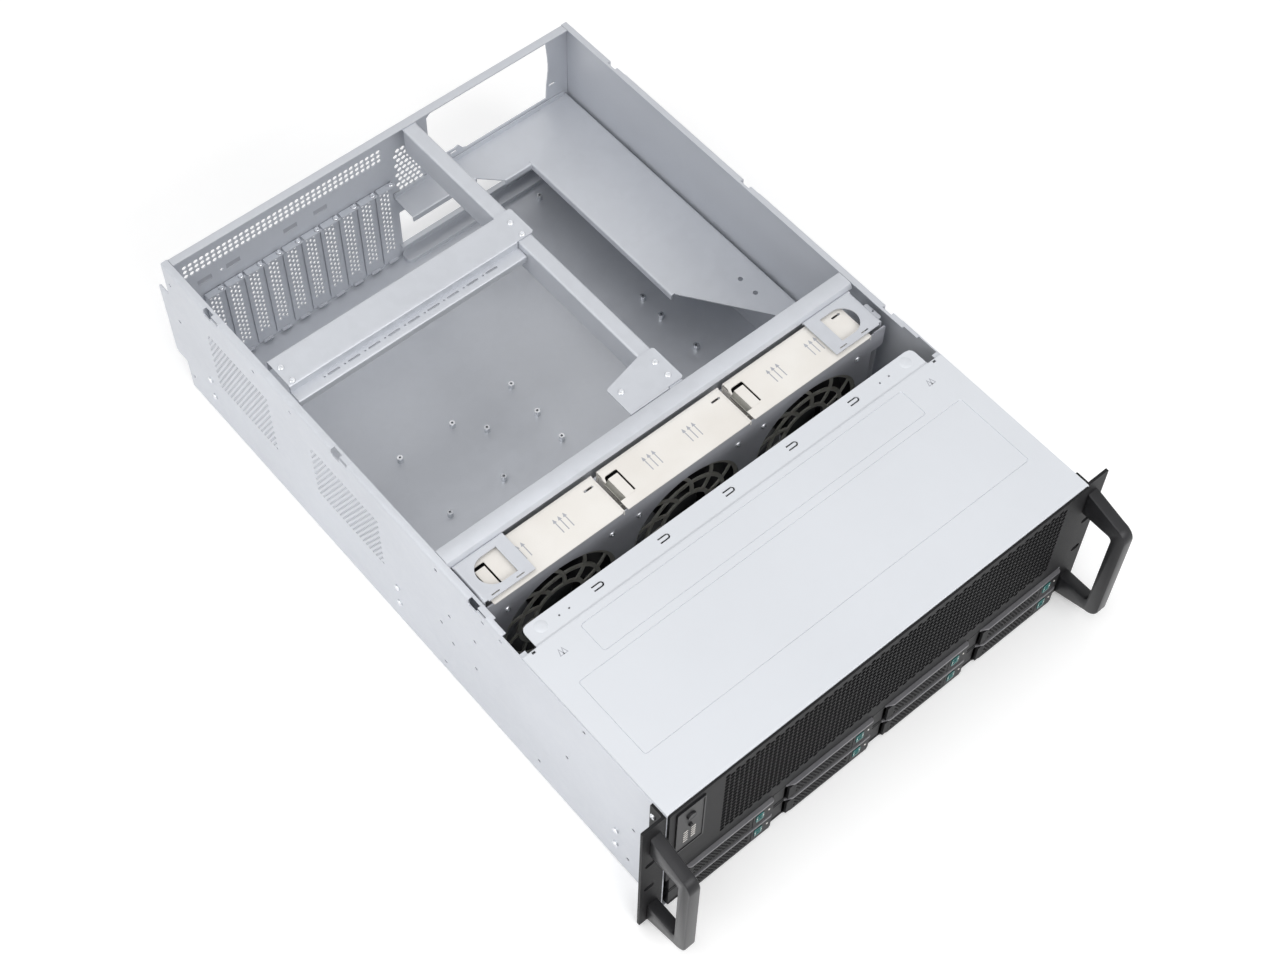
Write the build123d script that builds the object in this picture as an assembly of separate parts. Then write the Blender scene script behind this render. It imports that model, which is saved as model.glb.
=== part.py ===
import os
from math import cos, pi, sin

from build123d import *

os.makedirs("parts", exist_ok=True)

# Case body, drawn with Y 0 at the front face and moved to its own frame when saved
body_width = 438.0
body_height = 176.0
body_depth = 650.0
sheet = 1.2
thin_sheet = 0.8
fit_gap = 0.2
half_width = body_width / 2
wall_inner = half_width - sheet
rim_width = 6.5
rim_inner = half_width - rim_width
rim_front = 191.0
rim_step = 15.0
rim_lip = 4.4
tub_front = 1.6
tail_length = 16.0
tail_low = 37.0
tail_high = 134.0

# Cover hook notches in both top rims
notch_length = 10.5
notch_depth = 7.0
notch_from_rear = (73.0, 252.0)
notch_first = 221.5
notch_ys = [body_depth - away for away in notch_from_rear] + [notch_first]
notch_inner = half_width - 4.0

# Left wall vents and small punched holes, as (y, z), and the rail studs of both walls
vent_length = 92.0
vent_height = 68.0
vent_from_rear = (100.5, 251.5)
vent_from_top = (74.0, 70.0)
vent_centres = [(body_depth - y, body_height - z) for y, z in zip(vent_from_rear, vent_from_top)]
vent_columns = 4
vent_rows = 3
vent_gap = 20.0
wall_holes = ((261, 109), (228, 114), (260, 65), (230, 66))
wall_hole_r = 1.8
rail_stud_ys = (56.0, 335.5, body_depth - 43.0)
rail_stud_zs = (30.0, 55.0)
rail_stud_r = 3.1
rail_stud_out = 1.6

# Rear panel
rear_y = body_depth - sheet
rear_flange = 9.0
panel_half = wall_inner - fit_gap
strip_left = -201.0
strip_right = 9.0
strip_low = body_height - 36.0
strip_high = body_height - 17.5
strip_columns = 11
strip_rows = 2
window_xs = (-184.5, -155.0, -95.0, -63.0)
window_width = 14.3
window_low = body_height - 52.0
window_high = window_low + 6.0
rear_vent_left = 19.0
rear_vent_right = 46.0
rear_vent_low = body_height - 94.0
rear_vent_high = body_height - 30.0
io_left = 17.5
io_width = 158.75
io_low = 17.0
io_height = 44.45
psu_left = 57.0
psu_right = 193.0
deck_z = 86.0
psu_low = deck_z + 8.0
psu_high = body_height - 9.0
port_step_depth = 14.0
port_step_top = 6.0

# Expansion slots and their cover plates
slot_count = 10
slot_pitch = 20.32
slot_first = -179.6
slot_low = 10.0
cover_tab_z = body_height - 65.3
slot_top = cover_tab_z - 6.7
slot_opening = 13.0
cover_plate_width = 18.4
cover_tab_depth = 6.4
cover_screw_x = 6.2

# Shelf that carries the power supplies
deck_left = 135.0
deck_neck = 191.0
deck_tail_left = 13.5
deck_right = 216.0
deck_front = 288.0
deck_side_length = 197.0
deck_side_rear = body_depth - 50.0
deck_side_front = deck_side_rear - deck_side_length
deck_tail_front = body_depth - 31.0
deck_lip = 6.5

# Bridge, spine rail, bracket and fan wall bar
top_under = body_height - sheet
bridge_left = -208.7
bridge_right = 43.0
bridge_front = body_depth - 172.0
bridge_rear = body_depth - 139.0
comb_front = bridge_front - 12.0
comb_drop = 8.0
spine_left = 26.0
spine_right = 40.5
spine_drop = 28.0
bar_front = 268.0
bar_rear = 282.0
bar_drop = 26.0
bracket_rear = bar_rear + 40.0

# Fan row
fan_pitch = 133.0
fan_first = -138.5
fan_size = 120.0
fan_depth = 38.0
duct_r = 58.0
duct_sides = 20
fan_hub_r = 20.0
blade_tip_r = 55.0
blade_count = 5
blade_pitch = 36.0
hub_sides = 14
shaft_r = 2.0
shaft_sides = 8
shaft_clearance = 0.05
plate_y = 221.0
plate_left = -half_width + 14.0
plate_right = half_width - 22.0
plate_ear = half_width - 9.0
guard_y = plate_y + sheet + fit_gap
guard_thick = 1.6
guard_arms = 4
guard_arm = 2.6
guard_bar = 3.0
guard_hub_r = 20.0
guard_ring_r = 57.0
fan_front = guard_y + guard_thick + fit_gap
fan_rear = fan_front + fan_depth
carrier_top = body_height - 8.0
fan_z = carrier_top - 76.0
carrier_width = 130.0
carrier_front = plate_y - 1.6
tab_front = carrier_front + 9.6
tab_rear = carrier_front + 32.6
tab_reach = 15.5
carrier_sheet = 1.0
cheek_gap = 0.4
cap_outer = half_width - 9.0
cap_top = body_height - 4.0
cap_front = plate_y + 1.4
cap_rear = fan_rear + 2.3
fan_centres = [fan_first + i * fan_pitch for i in range(3)]

# Front cover and bezel
cover_rear = 167.0
lip_rear = cover_rear + 20.5
lip_half = half_width - 15.0
lance_first = -135.8
lance_pitch = 66.8
lance_front = cover_rear + 9.5
lance_length = 3.5
pressed_panels = (
    (half_width - 51.0, cover_rear - 35.0, cover_rear - 6.0),
    (half_width - 19.5, cover_rear - 119.0, cover_rear - 42.0),
)
bezel_front = -0.5
bezel_thick = 2.0
bezel_back = bezel_front + bezel_thick
bezel_low = 55.7
bezel_half = wall_inner - 0.4
panel_left = -211.0
panel_width = 27.6
panel_right = panel_left + panel_width
mesh_left = panel_right + 18.4
mesh_right = 195.0
mesh_low = bezel_low + 13.3
mesh_high = body_height - 5.0
mesh_columns = 9
mesh_rows = 4
panel_high = body_height - 6.0
panel_low = panel_high - 70.0

# Drive carriers, two rows of four
column_pitch = (body_width - 9.2) / 4
tray_width = column_pitch - 1.6
tray_height = 25.6
row_zs = (1.8, 29.0)
tray_face = -3.0
tray_depth = 163.0
housing_back = 12.0
lip_height = 2.2
left_block = 13.0
pin_x = 17.2
pin_y = -0.6
pin_r = 1.0
pin_sides = 6
knuckle_r = 2.3
pin_bore_r = 1.15
lever_left = 14.6
lever_right = tray_width - 21.8
lever_thick = 2.4
right_block = tray_width - 21.0
button_x = tray_width - 14.2
button_width = 9.0
button_height = 15.0
rail_thick = 1.6
cage_front = 4.0
cage_rear = 176.0
board_y = 172.0
board_thick = 1.6

# Rack ears and handles
ear_width = 22.3
ear_outer = half_width + ear_width
ear_front = 1.5
ear_thick = 2.5
ear_flange_rear = 17.0
ear_slot_x = ear_outer - 8.75
ear_slot_zs = (65.8, 110.25)
ear_slot_length = 10.0
ear_slot_r = 3.4
handle_inner = half_width + 4.0
handle_width = 11.0
handle_low = 3.0
handle_high = body_height - 19.0
grip_low = handle_low + 26.0
grip_high = handle_high - 28.0
handle_face = -43.0
handle_grip = -28.0

# Screws and studs
screw_head_r = 2.9
screw_head_h = 1.5
screw_r = 1.4
screw_hole_r = 1.8
hole_sides = 6
standoff_h = 6.4
standoff_r = 2.9
standoff_points = (
    (-0.4, 186), (-67.5, 186), (-46.6, 209.5), (-1.0, 259), (-125.5, 186), (-67, 259.5),
    (-126, 259), (-0.8, 224), (158, 30), (156, 186), (155, 213), (157, 260),
)
top_screws = (
    (-203.4, bridge_rear - 13), (-203.4, bridge_front + 4), (33.2, bridge_rear - 13),
    (33.2, bridge_front + 4), (33.2, bar_rear + 27), (33.2, bar_rear + 11), (-7, bar_rear + 22),
)


def block(x0, x1, y0, y1, z0, z1):
    return Pos((x0 + x1) / 2, (y0 + y1) / 2, (z0 + z1) / 2) * Box(x1 - x0, y1 - y0, z1 - z0)


def rod_y(x, z, r, y0, y1):
    return Pos(x, (y0 + y1) / 2, z) * Rot(90, 0, 0) * Cylinder(r, y1 - y0)


def polygon(points):
    return Wire.make_polygon([(u, v, 0) for u, v in points], close=True)


def rectangle(u0, u1, v0, v1):
    return polygon([(u0, v0), (u1, v0), (u1, v1), (u0, v1)])


def many_sided(u, v, r, sides, turn=0.0):
    angles = [turn + 2 * pi * i / sides for i in range(sides)]
    return polygon([(u + r * cos(a), v + r * sin(a)) for a in angles])


def hole(u, v, r, sides=hole_sides):
    return many_sided(u, v, r / cos(pi / sides), sides)


def slot(u, v, half_length, r):
    top = Edge.make_line((u - half_length, v + r), (u + half_length, v + r))
    low = Edge.make_line((u + half_length, v - r), (u - half_length, v - r))
    right = Edge.make_three_point_arc(
        (u + half_length, v + r), (u + half_length + r, v), (u + half_length, v - r))
    left = Edge.make_three_point_arc(
        (u - half_length, v - r), (u - half_length - r, v), (u - half_length, v + r))
    return Wire([top, right, low, left])


def grid(u0, u1, columns, v0, v1, rows):
    step_u = (u1 - u0) / columns
    step_v = (v1 - v0) / rows
    return [(u0 + (i + 0.5) * step_u, v0 + (j + 0.5) * step_v)
            for i in range(columns) for j in range(rows)]


def plate(facing, at, outline, gaps=(), thick=sheet):
    face = Face(polygon(outline), list(gaps))
    solid = extrude(face, amount=thick, dir=(0, 0, 1))
    planes = {
        "flat": Plane((0, 0, at)),
        "front": Plane((0, at + thick, 0), x_dir=(1, 0, 0), z_dir=(0, -1, 0)),
        "side": Plane((at, 0, 0), x_dir=(0, 1, 0), z_dir=(1, 0, 0)),
    }
    return planes[facing].location * solid


def box_outline(u0, u1, v0, v1):
    return [(u0, v0), (u1, v0), (u1, v1), (u0, v1)]


def round_outline(r, sides):
    angles = [2 * pi * i / sides for i in range(sides)]
    return [(r * cos(a), r * sin(a)) for a in angles]


def cut_corners(u0, u1, v0, v1, c):
    return [(u0 + c, v0), (u1 - c, v0), (u1, v0 + c), (u1, v1 - c),
            (u1 - c, v1), (u0 + c, v1), (u0, v1 - c), (u0, v0 + c)]


def mirrored(shape):
    return mirror(shape, about=Plane.YZ)


def save(name, shape):
    moved = Pos(0, -body_depth / 2, 0) * shape
    export_step(moved, "parts/" + name + ".step")


def save_group(name, shapes):
    save(name, Compound(children=[s for shape in shapes for s in shape.solids()]))


# Folded tub: floor, both side walls, cover seats and top rims
def wall_gaps():
    gaps = [hole(y, z, wall_hole_r, 4) for y, z in wall_holes]
    for y, z in vent_centres:
        cells = grid(y - vent_length / 2, y + vent_length / 2, vent_columns,
                     z - vent_height / 2, z + vent_height / 2, vent_rows)
        gaps += [many_sided(u, v, vent_gap / 2, 4, pi / 4) for u, v in cells]
    return gaps


def side_wall(gaps):
    seat = top_under - fit_gap
    outline = [
        (tub_front, 0), (body_depth, 0), (body_depth, tail_low),
        (body_depth + tail_length, tail_low), (body_depth + tail_length, tail_high),
        (body_depth, tail_high), (body_depth, body_height), (rim_front, body_height),
        (rim_front, seat), (tub_front, seat),
    ]
    wall = plate("side", -half_width, outline, gaps)
    rim = block(-wall_inner, -rim_inner, rim_front, body_depth, top_under, body_height)
    ledge = block(-wall_inner, -rim_inner, 14, rim_front - 20, seat - sheet, seat)
    side = wall + rim + ledge
    side -= block(-half_width + rim_lip, -rim_inner, rim_front, rim_front + rim_step,
                  top_under, body_height)
    for y in notch_ys:
        side -= block(-half_width, -notch_inner, y, y + notch_length,
                      body_height - notch_depth, body_height)
        side -= block(-half_width, -wall_inner, y - notch_length, y,
                      body_height - 2.5, body_height)
    return side


floor = plate("flat", 0, box_outline(-half_width, half_width, tub_front, body_depth))
tub = floor + side_wall(wall_gaps()) + mirrored(side_wall(()))
save("chassis_tub", tub)


# Rear panel with its vents, slot openings, port window and power supply window
def rear_gaps():
    cells = grid(strip_left, strip_right, strip_columns, strip_low, strip_high, strip_rows)
    gaps = [many_sided(x, z, 4.6, 4, pi / 4) for x, z in cells]
    for x in window_xs:
        gaps.append(rectangle(x - window_width / 2, x + window_width / 2, window_low, window_high))
    for x, z in grid(rear_vent_left, rear_vent_right, 2, rear_vent_low, rear_vent_high, 4):
        if x + 0.55 * (z - rear_vent_low) < 65:
            gaps.append(many_sided(x, z, 6.0, 6))
    for i in range(slot_count):
        x = slot_first + i * slot_pitch
        gaps.append(rectangle(x - slot_opening / 2, x + slot_opening / 2, slot_low, slot_top))
    gaps.append(rectangle(io_left, io_left + io_width, io_low, io_low + io_height))
    gaps.append(polygon([
        (psu_left, psu_low + 8), (psu_left + 20, psu_low + 8), (psu_left + 32, psu_low + 9),
        (psu_left + 41, psu_low), (psu_right - 1, psu_low), (psu_right, psu_low + 16),
        (psu_right + 2.5, psu_low + 42), (psu_right, psu_high), (psu_left + 7, psu_high),
        (psu_left, psu_high - 6),
    ]))
    for x, z in ((psu_left + 26, psu_low + 4), (psu_right + 6, psu_low + 14.5)):
        gaps.append(rectangle(x - 3.7, x + 3.7, z - 1.2, z + 1.2))
    gaps.append(hole(-167, window_low + 3, 1.6))
    return gaps


outline = box_outline(-panel_half, panel_half, sheet, top_under - fit_gap)
rear = plate("front", rear_y, outline, rear_gaps())
rear += block(-rim_inner + 0.4, rim_inner - 0.4, body_depth - rear_flange, body_depth,
              top_under, body_height)
rear += block(-rim_inner + 0.4, rim_inner - 0.4, rear_y, body_depth,
              top_under - fit_gap, top_under)
rear += block(io_left - 3, io_left + io_width + 4, rear_y - 4.2, rear_y, io_low - sheet, io_low)
port_step = block(io_left - 4, io_left + io_width + 4, rear_y - port_step_depth, rear_y,
                  sheet, port_step_top)
save_group("rear_panel", [rear, port_step])


# Slot covers with folded screw tabs and lower tongues
def slot_cover(x):
    gaps = [rectangle(u - 3.6, u + 3.6, v - 14, v + 14) for u, v in grid(x - 5, x + 5, 1, 22, 96, 2)]
    half = cover_plate_width / 2
    face = rear_y - fit_gap - sheet
    body = plate("front", face, box_outline(x - half, x + half, 5, cover_tab_z), gaps)
    tab = plate("flat", cover_tab_z - sheet,
                box_outline(x - half, x + half, face - cover_tab_depth, face + 0.2),
                [hole(x + cover_screw_x, face - 3.0, screw_hole_r)])
    tongue = block(x - 5, x + 5, face - 3, face, 5, 5 + sheet)
    return body + tab + tongue


slot_xs = [slot_first + i * slot_pitch for i in range(slot_count)]
save_group("slot_covers", [slot_cover(x) for x in slot_xs])


# Power supply shelf on the right, open underneath
deck_outline = [
    (deck_tail_left, rear_y - fit_gap), (deck_tail_left, deck_tail_front),
    (deck_left - 49, deck_tail_front), (deck_left - 30, deck_side_rear),
    (deck_left, deck_side_rear), (deck_left, deck_side_front), (deck_neck, deck_front + 41),
    (deck_neck, deck_front), (deck_right, deck_front), (deck_right, rear_y - fit_gap),
]
deck_holes = [hole(deck_neck + 3, deck_front + away, 2.4) for away in (90, 70)]
deck = plate("flat", deck_z - sheet, deck_outline, deck_holes)
deck += block(deck_right - sheet, deck_right, deck_front, rear_y - fit_gap, sheet, deck_z)
lip_low = deck_z - deck_lip
deck += block(deck_tail_left, deck_left - 49, deck_tail_front, deck_tail_front + sheet,
              lip_low, deck_z)
deck += block(deck_left - 30, deck_left + sheet, deck_side_rear, deck_side_rear + sheet,
              lip_low, deck_z)
deck += block(deck_left, deck_left + sheet, deck_side_front, deck_side_rear + sheet,
              lip_low, deck_z)
deck += block(deck_neck, deck_right, deck_front, deck_front + sheet, sheet, deck_z)
deck += block(deck_tail_left, deck_right, rear_y - fit_gap - sheet, rear_y - fit_gap,
              deck_z - sheet, deck_z + 5)
save("psu_deck", deck)


# Screw holes through the top plates, shared by every plate that a screw crosses
def top_holes(points):
    return [hole(x, y, screw_hole_r) for x, y in points]


# Bridge over the expansion cards, with its stepped comb
comb_z = body_height - comb_drop
comb_cells = [(x + slot_pitch / 2, comb_front + 7.5) for x in slot_xs[:-1]]
comb_gaps = [rectangle(x - 6, x + 6, y - 1.1, y + 1.1) for x, y in comb_cells]
bridge = plate("flat", top_under, box_outline(bridge_left, bridge_right, bridge_front, bridge_rear),
               top_holes(top_screws[:4]))
bridge += block(bridge_left, spine_left - 1, bridge_front, bridge_front + sheet, comb_z, body_height)
comb_outline = box_outline(bridge_left, spine_left - 1, comb_front, bridge_front + sheet)
bridge += plate("flat", comb_z - sheet, comb_outline, comb_gaps)
bridge += block(bridge_left, spine_left - 1, comb_front, comb_front + sheet, comb_z - 7, comb_z)
bridge += block(bridge_left, spine_left - 1, bridge_rear - sheet, bridge_rear,
                body_height - 12, body_height)
save("slot_bridge", bridge)

# Spine rail: an inverted channel from the fan wall bar to the rear panel
spine_top = top_under - fit_gap
spine_front = bar_rear + fit_gap
spine_rear = rear_y - fit_gap
spine = plate("flat", spine_top - sheet,
              box_outline(spine_left, spine_right, spine_front, spine_rear),
              top_holes(top_screws[2:6]))
for x in (spine_left, spine_right - sheet):
    spine += block(x, x + sheet, spine_front, spine_rear - rear_flange, spine_top - spine_drop,
                   spine_top)
save("spine_rail", spine)

# Bracket that ties the spine rail to the bar
bracket = plate("flat", top_under,
                [(-15, bar_rear + 2), (42, bar_rear + 2), (42, bracket_rear), (24, bracket_rear),
                 (-15, bracket_rear - 9)], top_holes(top_screws[4:]))
bracket += block(-15, spine_left - 0.4, bar_rear + fit_gap, bar_rear + fit_gap + sheet,
                 top_under - 14, top_under)
bracket += block(-15, spine_left - 0.4, bar_rear + fit_gap, bar_rear + 3, top_under, body_height)
save("spine_bracket", bracket)

# Bar across the case behind the fans
bar_section = [
    (bar_front - 3.4, body_height - 5), (bar_front, body_height), (bar_rear, body_height),
    (bar_rear, body_height - bar_drop), (bar_rear - sheet, body_height - bar_drop),
    (bar_rear - sheet, top_under), (bar_front + sheet, top_under),
    (bar_front + sheet, body_height - bar_drop), (bar_front, body_height - bar_drop),
    (bar_front, body_height - 2.2), (bar_front - 2.4, body_height - 5.6),
]
bar = plate("side", -rim_inner + 0.4, bar_section, (), 2 * (rim_inner - 0.4))
for s in (-1, 1):
    x0, x1 = sorted((s * (rim_inner - 0.4), s * (wall_inner - fit_gap)))
    bar += block(x0, x1, bar_front + sheet, bar_rear - sheet, top_under - fit_gap - sheet,
                 top_under - fit_gap)
    x0, x1 = sorted((s * (rim_inner - 2), s * (rim_inner - 0.4)))
    bar += block(x0, x1, bar_front + sheet, bar_rear - sheet, top_under - fit_gap - sheet,
                 top_under)
save("fan_wall_crossbar", bar)


# Fan wall front plate with three round openings
def fan_plate_outline():
    low = carrier_top - 28
    high = carrier_top - 2
    top = carrier_top - 3
    inner = plate_left + 11
    return [
        (plate_left, sheet), (plate_right, sheet), (plate_right, low), (plate_ear, low),
        (plate_ear, high), (plate_right, high), (plate_right, top), (inner, top), (inner, high),
        (-plate_ear, high), (-plate_ear, low), (plate_left, low),
    ]


fan_plate_gaps = [many_sided(c, fan_z, duct_r - 0.5, duct_sides) for c in fan_centres]
fan_plate = plate("front", plate_y, fan_plate_outline(), fan_plate_gaps)
fan_plate += block(plate_left + 11, plate_right, plate_y - 14, plate_y, sheet, 2 * sheet)
save("fan_front_plate", fan_plate)


# Finger guard: a hub disc and two rings joined by swept arms
def arm_angle(number, r):
    return 2 * pi * number / guard_arms + 0.55 * (r - guard_hub_r) / (guard_ring_r - guard_hub_r)


def guard_gap(number, r0, r1):
    points = []
    for r, order in ((r0, (0, 0.5, 1)), (r1, (1, 0.5, 0))):
        side = guard_arm / 2 / r
        low = arm_angle(number, r) + side
        high = arm_angle(number + 1, r) - side
        points += [(r * cos(low + t * (high - low)), r * sin(low + t * (high - low))) for t in order]
    return polygon(points)


def fan_guard(cx):
    middle = (guard_hub_r + guard_ring_r) / 2
    gaps = []
    for number in range(guard_arms):
        gaps.append(guard_gap(number, guard_hub_r, middle - guard_bar / 2))
        gaps.append(guard_gap(number, middle + guard_bar / 2, guard_ring_r - guard_bar))
    guard = plate("front", 0, round_outline(guard_ring_r, duct_sides), gaps, guard_thick)
    return Pos(cx, guard_y, fan_z) * guard


# Square fan frame: duct, rear struts and a motor base with the shaft bore
def fan_frame(cx):
    half = fan_size / 2
    duct = many_sided(0, 0, duct_r, duct_sides)
    body = plate("front", fan_front, box_outline(-half, half, -half, half), [duct], fan_depth)
    base = plate("front", fan_rear - 6, round_outline(fan_hub_r, hub_sides), [], 6)
    for i in range(4):
        base += Rot(0, 45 + 90 * i, 0) * block(0, duct_r + 1, fan_rear - 4, fan_rear, -2, 2)
    bore_r = (shaft_r + shaft_clearance) / cos(pi / shaft_sides)
    bore = plate("front", fan_rear - 6, round_outline(bore_r, shaft_sides), [], 4.5)
    return Pos(cx, 0, fan_z) * (body + base - bore)


# Rotor: hub, pitched blades that widen to the tip, and the shaft
def fan_rotor(cx):
    hub_front = fan_front + 4
    hub_rear = fan_rear - 6.6
    mid = (hub_front + hub_rear) / 2
    rotor = plate("front", hub_front, round_outline(fan_hub_r - 1, hub_sides), [],
                  hub_rear - hub_front)
    root = fan_hub_r - 4
    blade_outline = [(root, -9), (blade_tip_r - 1, -13.5), (blade_tip_r - 1, 13.5), (root, 9)]
    blade = Pos(0, mid, 0) * Rot(blade_pitch, 0, 0) * plate("flat", -0.9, blade_outline, [], 1.8)
    for i in range(blade_count):
        rotor += Rot(0, 360 * i / blade_count, 0) * blade
    rotor += rod_y(0, 0, shaft_r, hub_rear, fan_rear - 2)
    return Pos(cx, 0, fan_z) * rotor


# Folded carrier of each fan: latch plate on top, cheeks down to the floor, cross shelf
def fan_carrier(cx):
    half = carrier_width / 2
    latch = half - 0.5
    cheek = fan_size / 2 + cheek_gap
    shelf = fan_z - fan_size / 2
    gaps = [
        polygon([(-latch + 1, tab_rear), (-half + tab_reach, tab_rear),
                 (-half + tab_reach, tab_front), (-half + tab_reach + 2, tab_front),
                 (-half + tab_reach + 2, tab_rear + 2), (-latch + 1, tab_rear + 2)]),
        rectangle(half - 14, half - 5, tab_rear - 0.2, tab_rear + 1.6),
    ]
    top = plate("flat", carrier_top - carrier_sheet,
                box_outline(-half, half, carrier_front, fan_rear + 0.4), gaps, carrier_sheet)
    top += block(-half, -half + carrier_sheet, tab_front + 1, tab_rear - 1,
                 carrier_top - 12, carrier_top)
    top += block(-half + 2, half - 2, fan_rear - 0.6, fan_rear + 0.4, shelf + fan_size + 0.4,
                 carrier_top)
    for x0 in (-cheek - carrier_sheet, cheek):
        top += block(x0, x0 + carrier_sheet, fan_front, fan_rear + 0.4, sheet, carrier_top)
    top += block(-cheek, cheek, fan_front + 2, fan_rear - 2, shelf - carrier_sheet, shelf)
    return Pos(cx, 0, 0) * top


for number, centre in enumerate(fan_centres, start=1):
    save("fan_guard_" + str(number), fan_guard(centre))
    save("fan_frame_" + str(number), fan_frame(centre))
    save("fan_rotor_" + str(number), fan_rotor(centre))
    save("fan_top_plate_" + str(number), fan_carrier(centre))


# End caps over the outer fans, each with a D shaped cable hole
def end_cap(x_out, x_in, straight_x):
    r = 14.0
    away = -1 if x_out < x_in else 1
    mid_y = (cap_front + cap_rear) / 2
    arc_x = straight_x + away * r
    angles = [pi * (i / 6 - 0.5) for i in range(7)]
    gap = [(arc_x + away * r * cos(a), mid_y + r * sin(a)) for a in angles]
    gap += [(straight_x, mid_y + r), (straight_x, mid_y - r)]
    low, high = sorted((x_out, x_in))
    cap = plate("flat", cap_top - sheet, box_outline(low, high, cap_front, cap_rear),
                [polygon(gap)])
    x0, x1 = sorted((x_out, x_out - away * sheet))
    cap += block(x0, x1, cap_front + 1.4, cap_rear, sheet, cap_top)
    cap += block(low, high, cap_rear - sheet, cap_rear, cap_top - 3.2, cap_top)
    return cap


save("fan_end_cap_left", end_cap(-cap_outer, -cap_outer + 49, -cap_outer + 37.5))
save("fan_end_cap_right", end_cap(cap_outer - 3, cap_outer - 55, cap_outer - 42))


# Front cover: pressed panels, and a joggled rear lip with its lances
def front_cover():
    front = bezel_back + 0.1
    cover = block(-half_width + 0.2, half_width - 0.2, front, cover_rear, top_under, body_height)
    for half, y0, y1 in pressed_panels:
        cover += block(-half, half, y0, y1, top_under - 0.6, top_under)
        cover -= block(-half + 1, half - 1, y0 + 1, y1 - 1, body_height - 0.6, body_height)
    lances = []
    for i in range(5):
        x = lance_first + i * lance_pitch
        lances.append(rectangle(x - 4, x + 4, lance_front, lance_front + lance_length))
    c = 6.0
    lip_top = top_under - 0.1
    outline = [(-lip_half, cover_rear - 8), (lip_half, cover_rear - 8), (lip_half, lip_rear - c),
               (lip_half - 2, lip_rear - 2), (lip_half - c, lip_rear), (-lip_half + c, lip_rear),
               (-lip_half + 2, lip_rear - 2), (-lip_half, lip_rear - c)]
    cover += plate("flat", lip_top - sheet, outline, lances)
    cover += block(-lip_half, lip_half, cover_rear - 8, cover_rear, lip_top - sheet, top_under)
    return cover


save("front_cover", front_cover())


# Front bezel with its honeycomb grille
def bezel_gaps():
    gaps = []
    step_x = (mesh_right - mesh_left) / (mesh_columns + 0.5)
    step_z = (mesh_high - mesh_low) / mesh_rows
    r = step_z * 0.56
    for j in range(mesh_rows):
        shift = 0.5 if j % 2 else 0.0
        for i in range(mesh_columns):
            x = mesh_left + (i + 0.5 + shift) * step_x
            gaps.append(many_sided(x, mesh_low + (j + 0.5) * step_z, r, 6, pi / 6))
    gaps.append(rectangle(panel_left - fit_gap, panel_right + fit_gap,
                          panel_low - fit_gap, panel_high + fit_gap))
    return gaps


bezel = plate("front", bezel_front, box_outline(-bezel_half, bezel_half, bezel_low, body_height),
              bezel_gaps(), bezel_thick)
for s in (-1, 1):
    x0, x1 = sorted((s * bezel_half, s * (bezel_half - sheet)))
    bezel += block(x0, x1, bezel_back, 12, bezel_low + 0.8, top_under - 1)
bezel += block(-bezel_half, bezel_half, bezel_back, 12, bezel_low + 0.8, bezel_low + 2)
bezel += block(-bezel_half, bezel_half, bezel_back, 12, top_under - 1 - sheet, top_under - 1)
save("front_bezel", bezel)

# Control panel with a raised border, and its two buttons
power_x = (panel_left + panel_right) / 2
power_z = panel_high - 17.0
power_r = 4.2
reset_x = power_x
reset_z = power_z - 16.0
reset_r = 1.8
button_clearance = 0.3
panel_gaps = [hole(power_x, power_z, power_r + button_clearance, 12),
              hole(reset_x, reset_z, reset_r + button_clearance, 8)]
control = plate("front", bezel_front - 0.9, box_outline(panel_left, panel_right, panel_low,
                                                        panel_high), panel_gaps, 2.2)
border = plate("front", bezel_front - 1.5, box_outline(panel_left, panel_right, panel_low,
                                                       panel_high),
               [rectangle(panel_left + 1.4, panel_right - 1.4, panel_low + 1.4,
                          panel_high - 1.4)], 0.7)
control += border
control += block(panel_left - 3, panel_right + 3, bezel_back + 0.1, bezel_back + 1.1,
                 panel_low - 3, panel_low + 8)
control += block(panel_left - 3, panel_right + 3, bezel_back + 0.1, bezel_back + 1.1,
                 panel_high - 6, panel_high + 1.4)
control += block(panel_left, panel_right, bezel_front + 1.2, bezel_back + 0.2,
                 panel_low, panel_low + 8)
control += block(panel_left, panel_right, bezel_front + 1.2, bezel_back + 0.2,
                 panel_high - 6, panel_high)
save("control_panel", control)


def push_button(x, z, r, sides):
    front = bezel_front - 2.6
    back = bezel_front + 1.6
    cap = Pos(x, front, z) * Rot(-90, 0, 0) * extrude(RegularPolygon(r, sides), back + 1.0 - front)
    flange = Pos(x, back, z) * Rot(-90, 0, 0) * extrude(RegularPolygon(r + 1.2, sides), 1.0)
    return cap + flange


save("power_button", push_button(power_x, power_z, power_r, 12))
save("reset_button", push_button(reset_x, reset_z, reset_r, 8))

# Drive cage: shelves and dividers round the two rows of carriers
shelf_z = row_zs[1] - 0.4 - thin_sheet
cage_top = row_zs[1] + tray_height + 0.6
column_edges = [(i - 2) * column_pitch for i in range(5)]
cage = block(-panel_half, panel_half, cage_front, cage_rear, cage_top, cage_top + thin_sheet)
cage += block(-column_pitch * 2 - 1.2, column_pitch * 2 + 1.2, cage_front, cage_rear, shelf_z,
              shelf_z + thin_sheet)
for x in column_edges[1:-1]:
    cage += block(x - 0.4, x + 0.4, cage_front, board_y - 0.4, sheet, cage_top)
for s in (-1, 1):
    x0, x1 = sorted((s * (column_pitch * 2 + 0.4), s * (column_pitch * 2 + 1.2)))
    cage += block(x0, x1, cage_front, cage_rear, sheet, cage_top)
    x0, x1 = sorted((s * (column_pitch * 2 + 1.2), s * panel_half))
    cage += block(x0, x1, cage_front, cage_rear, sheet, 2.0)
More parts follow.
